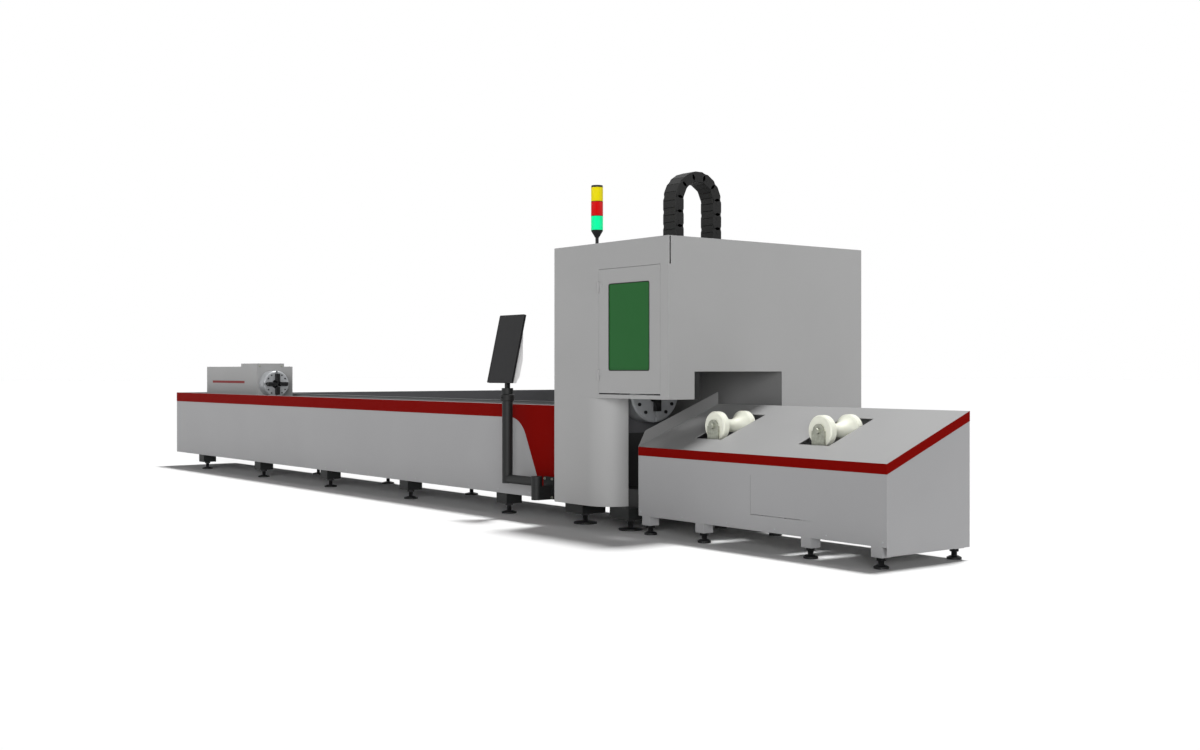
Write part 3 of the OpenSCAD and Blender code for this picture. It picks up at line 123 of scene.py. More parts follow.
class MachineColours(bpy.types.PropertyGroup):
    """Paint and plastic colours."""
    casing: colour("Casing", "Grey paint of the enclosure", (0.65, 0.65, 0.65))
    bed: colour("Bed", "Grey paint of the bed and table panels", (0.625, 0.625, 0.63))
    table: colour("Table top", "Paint of the sloped table top", (0.625, 0.625, 0.625))
    dark: colour("Dark grey", "Paint of the inner frames", (0.34, 0.34, 0.35))
    # On the table fence this grey is darker than the table top as painted shade; on the chamber wall it is
    # the wall's paint
    inner: colour("Inner", "Paint of the chamber wall and of the table fence", (0.50, 0.50, 0.50))
    black: colour("Black", "Paint of the arm, the posts and the foot blocks", (0.10, 0.105, 0.105))
    # The welded base is black like the posts; its paler grey is painted light where the base stands in
    # shade
    base: colour("Base", "Paint of the welded base", (0.20, 0.20, 0.20))
    red: colour("Red", "Paint of the trim", (0.48, 0.03, 0.015))
    steel: colour("Steel", "Ground and turned steel", (0.72, 0.73, 0.74))
    oxide: colour("Black oxide", "Jaws, screws and levelling feet", (0.10, 0.10, 0.105))
    rubbed: colour("Rubbed", "Worn patches of blackened steel", (0.26, 0.26, 0.27))
    zinc: colour("Zinc", "Plated roller brackets", (0.66, 0.67, 0.62))
    chain: colour("Chain", "Moulded chain links", (0.105, 0.105, 0.105))
    rubber: colour("Rubber", "Seals and cables", (0.06, 0.06, 0.06))
    brass: colour("Brass", "Nozzle tip", (0.80, 0.58, 0.28))
    roller: colour("Roller", "Nylon rollers", (0.965, 0.97, 0.91))
    window: colour("Window", "Laser filter pane", (0.125, 0.38, 0.17))
    lamp_green: colour("Green lamp", "Lowest lamp of the tower", (0.02, 0.96, 0.63))
    lamp_red: colour("Red lamp", "Middle lamp of the tower", (0.78, 0.005, 0.01))
    lamp_yellow: colour("Yellow lamp", "Top lamp of the tower", (0.87, 0.81, 0.02))
    screen: colour("Screen", "Display panel", (0.145, 0.145, 0.15))
    shell: colour("Shell", "Moulded back of the monitor", (0.95, 0.95, 0.95))
    floor: colour("Floor", "Plain floor of the stage", (0.97, 0.97, 0.97))


class MachineSizes(bpy.types.PropertyGroup):
    """Sizes of the small fittings."""
    peel: length("Paint texture", "Size of the orange peel in the paint", 0.003)
    edge: length("Edge softness", "Radius that paint gives to sheet edges", 0.0018)
    wear: length("Edge wear", "Width of the rubbed paint along edges", 0.004)
    thread: length("Thread pitch", "Pitch of the thread on the levelling studs", 0.004)
    gasket_w: length("Gasket width", "Width of the window gasket", 0.006)
    gasket_h: length("Gasket height", "Height of the window gasket above the door", 0.002)
    screw_r: length("Screw radius", "Radius of the small panel screws", 0.006)
    screw_pitch: length("Screw pitch", "Widest distance between panel screws", 0.45)
    rack_pitch: length("Rack pitch", "Distance between rack teeth", 0.0126)
    plug_pitch: length("Plug pitch", "Distance between the rail screws", 0.105)
    link_h: length("Link height", "Height of a chain link", 0.077)
    link_plate: length("Link plate", "Thickness of a side plate of a chain link", 0.0055)
    link_bar: length("Link bar", "Thickness of a lid of a chain link", 0.006)
    cable_r: length("Cable radius", "Radius of a cable in the chain", 0.009)
    lap: length("Pane lap", "Overlap of the window pane behind the door", 0.016)
    louvre_pitch: length("Louvre pitch", "Distance between the louvres of the rear wall", 0.034)


class MachineStage(bpy.types.PropertyGroup):
    """Light and camera."""
    sky: strength("Sky", "Strength of the even light", 0.06)
    key: strength("Key", "Strength of the light overhead", 3.1)
    fill: strength("Fill", "Strength of the light from the front", 3.0)
    eye: bpy.props.FloatVectorProperty(
        name="Eye", description="Place of the camera", default=(10.914, -7.040, 1.170),
        subtype="XYZ", unit="LENGTH")
    heading: bpy.props.FloatVectorProperty(
        name="Heading", description="Level direction of view", default=(-0.7906, 0.6124, 0.0),
        subtype="DIRECTION")
    lens: bpy.props.FloatProperty(
        name="Lens", description="Focal length in millimetres", default=41.04, min=1.0, unit="CAMERA")
    shift: bpy.props.FloatProperty(
        name="Shift", description="Upward shift of the lens, as a share of its sensor", default=-0.00375)


def colours():
    """The colour settings of the scene."""
    return bpy.context.scene.machine_colours


def sizes():
    """The size settings of the scene."""
    return bpy.context.scene.machine_sizes


def linear(shown):
    """A colour as it shows on a screen, as the light values that a shader takes."""
    # The usual screen curve: a straight foot, and a power above it
    return tuple(c / 12.92 if c <= 0.04045 else ((c + 0.055) / 1.055) ** 2.4 for c in shown) + (1.0,)


# Shader maths

class Value:
    """A shader socket that takes part in sums: each operation adds one Math node."""

    def __init__(self, tree, socket):
        self.tree = tree
        self.socket = socket

    def maths(self, operation, *parts):
        """One Math node of that operation on the given values."""
        node = self.tree.nodes.new("ShaderNodeMath")
        node.operation = operation
        for slot, part in zip(node.inputs, parts):
            if isinstance(part, Value):
                self.tree.links.new(part.socket, slot)
            else:
                slot.default_value = part
        return Value(self.tree, node.outputs[0])

    def __add__(self, other):
        return self.maths("ADD", self, other)

    def __sub__(self, other):
        return self.maths("SUBTRACT", self, other)

    def __mul__(self, other):
        return self.maths("MULTIPLY", self, other)

    def __rsub__(self, other):
        return self.maths("SUBTRACT", other, self)

    def __pow__(self, other):
        return self.maths("POWER", self, other)

    def __gt__(self, other):
        return self.maths("GREATER_THAN", self, other)

    def __lt__(self, other):
        return self.maths("LESS_THAN", self, other)

    __radd__ = __add__
    __rmul__ = __mul__

    def wave(self, pitch):
        """A sine wave that repeats each time this value grows by the pitch."""
        return self.maths("SINE", self * (math.tau / pitch))


class Nodes:
    """A node tree that grows."""

    def __init__(self, tree):
        self.tree = tree

    def node(self, kind, settings=None, sockets=None):
        """A new node with its settings made first, then its sockets filled or linked."""
        node = self.tree.nodes.new(kind)
        for key, setting in (settings or {}).items():
            setattr(node, key, setting)
        for key, source in (sockets or {}).items():
            self.fill(node.inputs[key], source)
        return node

    def fill(self, socket, source):
        """Puts a number, a colour, a socket or a Value into a socket."""
        if isinstance(source, Value):
            source = source.socket
        if isinstance(source, bpy.types.NodeSocket):
            self.tree.links.new(source, socket)
        else:
            socket.default_value = source


class Finish(Nodes):
    """A material under construction, with its Principled shader."""
    # Rays with which a Bevel node finds the edges near a point
    bevel_rays = 4

    def __init__(self, name, shown, metallic=0.0):
        self.material = bpy.data.materials.new(name)
        self.material.use_nodes = True
        super().__init__(self.material.node_tree)
        self.shader = self.tree.nodes["Principled BSDF"]
        self.base = linear(shown)
        self.set("Base Color", self.base)
        self.set("Metallic", metallic)
        self.place = self.node("ShaderNodeTexCoord").outputs["Object"]

    def set(self, name, source):
        """Fills one socket of the Principled shader."""
        self.fill(self.shader.inputs[name], source)

    def rough(self, least, *shares):
        """Roughness from a least value, with a share of each mask added to it."""
        total = least
        for share, mask in shares:
            total = total + share * mask
        self.set("Roughness", total)

    def axes(self):
        """The place on the piece as three values."""
        split = self.node("ShaderNodeSeparateXYZ", sockets={"Vector": self.place})
        return [Value(self.tree, socket) for socket in split.outputs]

    def noise(self, scale, detail=2.0, stretch=(1.0, 1.0, 1.0)):
        """Noise from 0 to 1, stretched along the axes where asked."""
        spread = self.node("ShaderNodeMapping", sockets={"Vector": self.place, "Scale": stretch})
        sockets = {"Vector": spread.outputs[0], "Scale": scale, "Detail": detail}
        return Value(self.tree, self.node("ShaderNodeTexNoise", sockets=sockets).outputs["Fac"])

    def mix(self, mask, first, second):
        """A colour that goes from first to second as the mask goes from 0 to 1."""
        node = self.node("ShaderNodeMix", {"data_type": "RGBA"})
        # Places of the factor, the two colours and the mixed colour among a Mix node's sockets
        for slot, source in ((0, mask), (6, first), (7, second)):
            self.fill(node.inputs[slot], source)
        return node.outputs[2]

    def shade(self, mask, depth):
        """The base colour darkened by depth where the mask is 1."""
        dark = tuple(c * (1.0 - depth) for c in self.base[:3]) + (1.0,)
        return self.mix(mask, self.base, dark)

    def paler(self, gain, lift):
        """The base colour made brighter."""
        return tuple(min(1.0, gain * c + lift) for c in self.base[:3]) + (1.0,)

    def rounded(self, radius):
        """The surface's direction, with edges rounded within a radius."""
        return self.node("ShaderNodeBevel", {"samples": self.bevel_rays}, {"Radius": radius}).outputs[0]

    def edges(self, radius):
        """1 along outer and inner edges, within a radius, and 0 on flat faces."""
        flat = self.node("ShaderNodeNewGeometry").outputs["Normal"]
        sockets = {0: self.rounded(radius), 1: flat}
        turned = self.node("ShaderNodeVectorMath", {"operation": "DOT_PRODUCT"}, sockets)
        return 1.0 - Value(self.tree, turned.outputs["Value"])

    def bump(self, height, distance, soften=0.0):
        """Relief from a height value, over edges softened by a radius."""
        sockets = {"Height": height, "Distance": distance, "Strength": 1.0}
        if soften:
            sockets["Normal"] = self.rounded(soften)
        self.set("Normal", self.node("ShaderNodeBump", sockets=sockets).outputs[0])


# Finishes

def powder_coat(name, shown, roughness=0.45, gloss=0.3):
    """Stoved paint: fine orange peel, a little cloudiness, and soft sheet edges with rubbed paint."""
    finish = Finish(name, shown)
    cloud = finish.noise(scale=1.7, detail=4.0)
    peel = finish.noise(scale=1.0 / sizes().peel, detail=3.0)
    rubbed = finish.edges(sizes().wear) * finish.noise(scale=60.0, detail=4.0)
    clouded = finish.shade(cloud, depth=0.07)
    finish.tone = finish.mix(rubbed, clouded, finish.paler(gain=1.5, lift=0.01))
    finish.set("Base Color", finish.tone)
    finish.rough(roughness, (0.10, cloud), (0.06, peel))
    finish.set("Specular IOR Level", gloss)
    finish.bump(peel, distance=0.00012, soften=sizes().edge)
    return finish


def lined_paint(name, shown, line):
    """Stoved paint of the carriage with its painted line."""
    finish = powder_coat(name, shown)
    x, _, z = finish.axes()
    box = low("carriage_low_box")
    base = box.z + LINE_RISE
    start = box.x + LINE_START
    stop = low("carriage_housing").x + LINE_STOP
    mask = (z > base) * (z < base + LINE_W) * (x > start) * (x < stop)
    finish.set("Base Color", finish.mix(mask, finish.tone, linear(line)))
    return finish


def ground_steel(name, shown):
    """Steel ground lengthwise, with streaks along X."""
    finish = Finish(name, shown, metallic=1.0)
    streak = finish.noise(scale=300.0, detail=3.0, stretch=(0.02, 1.0, 1.0))
    cloud = finish.noise(scale=4.0, detail=3.0)
    finish.set("Base Color", finish.shade(streak * cloud, depth=0.45))
    finish.rough(0.24, (0.22, streak))
    finish.bump(streak, distance=0.00004, soften=0.001)
    return finish


def turned_steel(name, shown):
    """Turned face: fine rings round the tube axis with a little oil haze."""
    finish = Finish(name, shown, metallic=0.35)
    _, y, z = finish.axes()
    across = y - AXIS_Y
    upright = z - AXIS_Z
    radius = (across * across + upright * upright) ** 0.5
    rings = radius.wave(pitch=0.002417)
    haze = finish.noise(scale=14.0, detail=4.0)
    finish.set("Base Color", finish.shade(haze, depth=0.30))
    finish.rough(0.33, (0.2, haze), (0.05, rings))
    finish.bump(rings, distance=0.00005, soften=0.0015)
    return finish


def black_oxide(name, shown, worn_above=0.62, wear=0.5):
    """Blackened steel with patches rubbed paler where its noise is high."""
    finish = Finish(name, shown, metallic=0.6)
    rub = finish.noise(scale=38.0, detail=5.0)
    patches = (rub > worn_above) * wear
    finish.set("Base Color", finish.mix(patches, finish.base, linear(colours().rubbed)))
    finish.rough(0.36, (0.25, rub))
    finish.bump(finish.noise(scale=500.0), distance=0.00008, soften=0.001)
    return finish


def threaded_steel(name, shown, depth_share=0.25):
    """Blackened levelling feet with a thread on the bare part of their studs."""
    finish = black_oxide(name, shown)
    _, _, z = finish.axes()
    bare = (z > STUD_FROM) * (z < STUD_TO)
    pitch = sizes().thread
    finish.bump(z.wave(pitch) * bare, distance=pitch * depth_share, soften=0.001)
    return finish


def zinc_plate(name, shown):
    """Zinc plated sheet with a faint crystal pattern."""
    finish = Finish(name, shown, metallic=0.75)
    crystal = finish.node("ShaderNodeTexVoronoi", sockets={"Vector": finish.place, "Scale": 60.0})
    shine = Value(finish.tree, crystal.outputs["Distance"])
    finish.set("Base Color", finish.shade(shine, depth=0.3))
    finish.rough(0.34, (0.2, shine))
    finish.bump(shine, distance=0.00006, soften=0.001)
    return finish


def moulded(name, shown, roughness, grain, relief=0.00015, tint=0.12):
    """Moulded plastic with a fine spark-eroded grain."""
    finish = Finish(name, shown)
    speck = finish.noise(scale=1.0 / grain, detail=4.0)
    cloud = finish.noise(scale=9.0)
    finish.set("Base Color", finish.shade(cloud, depth=tint))
    finish.rough(roughness, (0.12, speck))
    finish.set("Specular IOR Level", 0.25)
    finish.bump(speck, distance=relief, soften=0.0012)
    return finish


def turned_nylon(name, shown):
    """Turned nylon: fine tool rings along the roller and a soft sheen."""
    finish = Finish(name, shown)
    _, y, _ = finish.axes()
    scuff = finish.noise(scale=24.0, detail=5.0)
    finish.set("Base Color", finish.shade(scuff, depth=0.10))
    finish.rough(0.36, (0.16, scuff))
    finish.set("Subsurface Weight", 0.08)
    finish.set("Subsurface Radius", (0.01, 0.009, 0.007))
    finish.bump(y.wave(pitch=0.004189), distance=0.00008, soften=0.0012)
    return finish


def ribbed_lens(name, shown, rib_count=48):
    """Translucent lamp lens with upright ribs round the tower, painted shade on every other side of the
    ribs, and a faint glow of its own colour.
    """
    finish = Finish(name, shown)
    axis = centre("tower_red")
    x, y, _ = finish.axes()
    angle = x.maths("ARCTAN2", y - axis.y, x - axis.x)
    ribs = angle.wave(pitch=math.tau / rib_count)
    # Painted shade: every other side of the ribs is darkened in the base colour; the bump below gives the
    # ribs their relief
    finish.set("Base Color", finish.shade(ribs * 0.5 + 0.5, depth=0.16))
    finish.rough(0.16)
    finish.set("Emission Color", finish.base)
    finish.set("Emission Strength", 0.3)
    finish.set("Specular IOR Level", 0.06)
    finish.bump(ribs, distance=0.0008)
    return finish


def filter_pane(name, shown):
    """Dark green filter pane: smooth, with very slight waviness."""
    finish = Finish(name, shown)
    wave = finish.noise(scale=5.0)
    finish.set("Base Color", finish.shade(wave, depth=0.10))
    finish.rough(0.16, (0.10, wave))
    finish.set("Specular IOR Level", 0.12)
    finish.bump(wave, distance=0.0006)
    return finish


def dark_display(name, shown):
    """Switched-off display: smooth glass with a few wiping smears."""
    finish = Finish(name, shown)
    smear = finish.noise(scale=22.0, detail=3.0)
    finish.set("Base Color", finish.shade(smear, depth=0.14))
    finish.rough(0.24, (0.2, smear))
    finish.set("Specular IOR Level", 0.12)
    finish.bump(smear, distance=0.00004, soften=0.002)
    return finish


def polished_brass(name, shown):
    """Brass with turning marks and a heat tint."""
    finish = Finish(name, shown, metallic=1.0)
    tint = finish.noise(scale=70.0, detail=3.0)
    finish.set("Base Color", finish.shade(tint, depth=0.35))
    finish.rough(0.18, (0.2, tint))
    finish.bump(tint, distance=0.00003)
    return finish


FINISHES = {}


def finish_of(slot):
    """The material of a slot or a special paint, made on first use."""
    if slot not in FINISHES:
        FINISHES[slot] = make_finish(slot).material
    return FINISHES[slot]


def make_finish(slot):
    """Builds the finish that a slot or a special paint names."""
    paint = colours()
    makers = {
        "grey_paint": lambda: powder_coat("casing_paint", paint.casing),
        "bed_paint": lambda: powder_coat("bed_paint", paint.bed),
        "table_paint": lambda: powder_coat("table_top_paint", paint.table, roughness=0.4, gloss=0.4),
        "dark_paint": lambda: powder_coat("dark_frame_paint", paint.dark, roughness=0.5),
        "black_paint": lambda: powder_coat("black_paint", paint.black, gloss=0.25),
        "base_paint": lambda: powder_coat("base_paint", paint.base, gloss=0.25),
        "red_paint": lambda: powder_coat("red_trim_paint", paint.red, roughness=0.5, gloss=0.02),
        "inner_paint": lambda: powder_coat("inner_paint", paint.inner),
        "carriage_paint": lambda: lined_paint("carriage_paint", paint.casing, paint.red),
        "stud_steel": lambda: threaded_steel("stud_steel", paint.oxide),
        "black_steel": lambda: black_oxide("black_oxide", paint.oxide),
        "ground_steel": lambda: ground_steel("ground_steel", paint.steel),
        "turned_steel": lambda: turned_steel("turned_steel", paint.steel),
        "head_anodised": lambda: moulded("anodised_head", paint.black, roughness=0.30, grain=0.0012),
        "chain_nylon": lambda: moulded("chain_nylon", paint.chain, roughness=0.50, grain=0.0015),
        "rubber": lambda: moulded("rubber", paint.rubber, roughness=0.55, grain=0.002),
        "lens_green": lambda: ribbed_lens("green_lens", paint.lamp_green),
        "lens_red": lambda: ribbed_lens("red_lens", paint.lamp_red),
        "lens_yellow": lambda: ribbed_lens("yellow_lens", paint.lamp_yellow),
        "window_acrylic": lambda: filter_pane("filter_pane", paint.window),
        "screen_black": lambda: dark_display("dark_display", paint.screen),
        "shell_white": lambda: moulded("monitor_shell", paint.shell, roughness=0.40, grain=0.0012,
                                       relief=0.0001, tint=0.05),
        "roller_nylon": lambda: turned_nylon("roller_nylon", paint.roller),
        "bracket_zinc": lambda: zinc_plate("bracket_zinc", paint.zinc),
        "brass": lambda: polished_brass("brass", paint.brass),
    }
    return makers[slot]()


# Mesh helpers

def add_piece(name, bm, finish, body=None):
    """Makes a mesh object from a bmesh, finishes it and lets it ride on a body, if one is named."""
    bmesh.ops.recalc_face_normals(bm, faces=bm.faces)
    mesh = bpy.data.meshes.new(name)
    bm.to_mesh(mesh)
    bm.free()
    mesh.shade_smooth()
    mesh.set_sharp_from_angle(angle=SHARP)
    mesh.materials.append(finish_of(finish))
    piece = bpy.data.objects.new(name, mesh)
    bpy.context.scene.collection.objects.link(piece)
    if body:
        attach(piece, body)
    return piece


def copies(bm, shape, placings):
    """Adds a shape to a bmesh once for each placing."""
    for placing in placings:
        first = len(bm.verts)
        bm.from_mesh(shape)
        bm.verts.ensure_lookup_table()
        bmesh.ops.transform(bm, matrix=placing, verts=bm.verts[first:])


def as_shape(bm):
    """Turns a bmesh into a mesh that copies() can place."""
    mesh = bpy.data.meshes.new("shape")
    bm.to_mesh(mesh)
    bm.free()
    return mesh


def add_copies(name, shape, placings, finish, body):
    """Makes one piece of a shape, once for each placing."""
    bm = bmesh.new()
    copies(bm, shape, placings)
    add_piece(name, bm, finish, body)


def aim(place, direction):
    """A placing that turns a shape's own Z along a direction."""
    turn = Vector(direction).to_track_quat("Z", "Y").to_matrix().to_4x4()
    return Matrix.Translation(place) @ turn


def aimed(spots, direction):
    """Placings at several spots, all along one direction."""
    return [aim(spot, direction) for spot in spots]


def corner_spots(node, axis, level, inset):
    """The four places near the corners of a node's outline, on a plane across an axis."""
    edge = Vector((inset,) * 3)
    first, last = low(node) + edge, high(node) - edge
    across, up = [other for other in range(3) if other != axis]
    spots = []
    for aside in (first[across], last[across]):
        for rise in (first[up], last[up]):
            spot = Vector()
            spot[axis] = level
            spot[across] = aside
            spot[up] = rise
            spots.append(spot)
    return spots


def soften(bm, edges, offset, segments=2):
    """Rounds edges."""
    bmesh.ops.bevel(bm, geom=edges, offset=offset, offset_type="OFFSET", segments=segments,
                    profile=0.5, affect="EDGES", material=-1, clamp_overlap=True)


def verts_of(geom):
    """The points among the parts that an operator made."""
    return [part for part in geom if isinstance(part, bmesh.types.BMVert)]


def edges_of(geom):
    """The edges among the parts that an operator made."""
    return [part for part in geom if isinstance(part, bmesh.types.BMEdge)]


def thicken(bm, faces, height):
    """Extrudes flat faces along Z and returns the raised points."""
    raised = verts_of(bmesh.ops.extrude_face_region(bm, geom=faces)["geom"])
    bmesh.ops.translate(bm, vec=(0, 0, height), verts=raised)
    return raised


def lathe(steps, segments, closed):
    """Spins a profile of radii and heights round Z."""
    bm = bmesh.new()
    points = [bm.verts.new((radius, 0, rise)) for radius, rise in steps]
    pairs = list(zip(points, points[1:]))
    if closed:
        pairs.append((points[-1], points[0]))
    edges = [bm.edges.new(pair) for pair in pairs]
    bmesh.ops.spin(bm, geom=[*points, *edges], cent=(0, 0, 0), axis=(0, 0, 1),
                   angle=math.tau, steps=segments, use_merge=True)
    return bm


def drum(bm, radius, height, base=0.0, segments=24):
    """Adds a round drum that stands on a base height, and returns its top face."""
    made = bmesh.ops.create_cone(bm, cap_ends=True, segments=segments, radius1=radius,
                                 radius2=radius, depth=height,
                                 matrix=Matrix.Translation((0, 0, base + height / 2)))
    faces = {face for vert in made["verts"] for face in vert.link_faces}
    return max(faces, key=lambda face: face.calc_center_median().z)


def sunk(bm, face, rim, depth):
    """Sinks a pocket into a face, leaving a rim."""
    bmesh.ops.inset_individual(bm, faces=[face], thickness=rim)
    inward = -face.normal * depth
    floor = bmesh.ops.extrude_discrete_faces(bm, faces=[face])["faces"][0]
    bmesh.ops.translate(bm, vec=inward, verts=floor.verts)


def screw_head(radius, height, rounding, rim, depth, segments):
    """Round screw head with a rounded upper edge and a round pocket."""
    bm = bmesh.new()
    top = drum(bm, radius, height, segments=segments)
    soften(bm, list(top.edges), rounding)
    top = max(bm.faces, key=lambda face: (face.calc_center_median().z, face.calc_area()))
    sunk(bm, top, rim, depth)
    return as_shape(bm)


def socket_screw(radius, height):
    """Tall socket head screw."""
    return screw_head(radius, height, rounding=radius * 0.12, rim=radius * 0.38,
                      depth=height * 0.55, segments=18)


def hex_bolt(radius, height, washer_r=1.25, washer_h=0.25, rounding=0.15):
    """Hexagon bolt head on a washer, whose sizes and the rounding are shares of the head's."""
    bm = bmesh.new()
    drum(bm, radius * washer_r, height * washer_h)
    top = drum(bm, radius, height, base=height * washer_h, segments=6)
    soften(bm, list(top.edges), height * rounding)
    return as_shape(bm)


def button_screw(radius):
    """Low button head screw."""
    return screw_head(radius, height=radius * 0.5, rounding=radius * 0.35, rim=radius * 0.25,
                      depth=radius * 0.25, segments=12)


def rounded_face(bm, width, height, radius, corner_points=5):
    """Adds a face with round corners in the XY plane."""
    count = 4 * corner_points
    turn = Matrix.Rotation(math.pi / count, 4, "Z")
    verts = bmesh.ops.create_circle(bm, cap_ends=True, segments=count, radius=radius, matrix=turn)["verts"]
    corners = [(sx, sy, [v for v in verts if v.co.x * sx > 0 and v.co.y * sy > 0])
               for sx in (-1, 1) for sy in (-1, 1)]
    for sx, sy, corner in corners:
        away = (sx * (width / 2 - radius), sy * (height / 2 - radius), 0)
        bmesh.ops.translate(bm, vec=away, verts=corner)
    return verts[0].link_faces[0]


def rounded_ring(width, height, radius, rim, thick, rounding=0.3):
    """A frame with round corners, its back on the XY plane, its crest rounded by a share of its rim."""
    bm = bmesh.new()
    face = rounded_face(bm, width, height, radius)
    bmesh.ops.inset_individual(bm, faces=[face], thickness=rim)
    bmesh.ops.delete(bm, geom=[face], context="FACES")
    thicken(bm, bm.faces[:], thick)
    crest = [edge for edge in bm.edges if all(abs(v.co.z - thick) < TOUCH for v in edge.verts)]
    outline = [edge for edge in crest if edge.calc_face_angle(0.0) > SHARP]
    soften(bm, outline, min(rim, thick) * rounding)
    return bm


def repeat(piece, pitch, count):
    """Repeats a piece along X."""
    row = piece.modifiers.new("row", "ARRAY")
    row.use_relative_offset = False
    row.use_constant_offset = True
    row.constant_offset_displace = (pitch, 0, 0)
    row.count = count


# Operators

class MACHINE_OT_paint_casings(bpy.types.Operator):
    """Gives every solid of the frame its finish"""
    bl_idname = "machine.paint_casings"
    bl_label = "Paint casings"
    # Solids with another finish than their slot's
    special = {
        "bed_paint": ("bed_front_panel", "bed_rear_panel", "bed_end_panel", "table_frame",
                      "table_front_panel", "table_end_panel", "table_back_panel"),
        # The table fence takes the inner grey as painted shade, the chamber wall as its paint
        "inner_paint": ("table_fence", "chamber_partition"),
        "carriage_paint": ("carriage_low_box", "carriage_housing"),
        "stud_steel": ("levelling_feet",),
        # The welded base takes a paler copy of the black paint as painted light
        "base_paint": ("base_frame",),
    }

    def execute(self, context):
        finishes = {node: paint for paint, nodes in self.special.items() for node in nodes}
        for part in frame["record"]["subparts"]:
            materials = frame["nodes"][part["node"]].data.materials
            materials.clear()
            materials.append(finish_of(finishes.get(part["node"], part["material_slot"])))
        return {"FINISHED"}


class MACHINE_OT_window_gasket(bpy.types.Operator):
    """Fits the rubber gasket round the window"""
    bl_idname = "machine.window_gasket"
    bl_label = "Window gasket"
    # Corner radius of the gasket
    corner = 0.018

    def execute(self, context):
        size = high("window_pane") - low("window_pane")
        lap = sizes().lap
        rim = sizes().gasket_w
        width = size.x - 2 * lap + rim
        height = size.z - 2 * lap + rim
        bm = rounded_ring(width, height, self.corner, rim, sizes().gasket_h)
        place = centre("window_pane")
        place.y = low("enclosure_front_panel").y
        bmesh.ops.transform(bm, matrix=aim(place, (0, -1, 0)), verts=bm.verts)
        add_piece("window_gasket", bm, "rubber", "door")
        return {"FINISHED"}


class MACHINE_OT_chuck_screws(bpy.types.Operator):
    """Fits the face screws of both chucks and the screws of their jaws"""
    bl_idname = "machine.chuck_screws"
    bl_label = "Chuck screws"
    # Shares of the chuck's radius, and the turn of a screw from the middle between two jaws
    ring_share = 0.79
    screw_share = 0.055
    screw_turn = 13.0
    # Height of a screw's head as a share of its radius
    head_share = 0.8
    # Places of the jaw screws along a jaw, as shares of its length from its middle
    jaw_places = (-0.08, 0.25)
    # Radius of a jaw screw as a share of the jaw's width, and its height as a share of its radius
    jaw_screw_share = 0.2
    jaw_head_share = 0.5

    def execute(self, context):
        for side in ("front", "rear"):
            body = side + "_chuck_body"
            face_x = high(body).x
            reach = (high(body).y - low(body).y) / 2
            ring = reach * self.ring_share
            radius = reach * self.screw_share
            spots = []
            for quarter in range(4):
                for turn in (-self.screw_turn, self.screw_turn):
                    angle = math.radians(45 + 90 * quarter + turn)
                    across = AXIS_Y + ring * math.cos(angle)
                    spots.append((face_x, across, AXIS_Z + ring * math.sin(angle)))
            screw = socket_screw(radius, radius * self.head_share)
            placings = aimed(spots, (1, 0, 0))
            add_copies(side + "_chuck_screws", screw, placings, "black_steel", side + "_chuck")
            for k in range(1, 5):
                self.fit_jaw(side, k)
        return {"FINISHED"}

    def fit_jaw(self, side, k):
        """Two socket screws along one jaw."""
        jaw = "%s_jaw_%d" % (side, k)
        middle = centre(jaw)
        size = high(jaw) - low(jaw)
        away = Vector((0, middle.y - AXIS_Y, middle.z - AXIS_Z)).normalized()
        span = max(size.y, size.z)
        radius = min(size.y, size.z) * self.jaw_screw_share
        spots = [middle + away * span * share for share in self.jaw_places]
        for spot in spots:
            spot.x = high(jaw).x
        screw = socket_screw(radius, radius * self.jaw_head_share)
        body = "%s_clamp_%d" % (side, k)
        add_copies(jaw + "_screws", screw, aimed(spots, (1, 0, 0)), "black_steel", body)


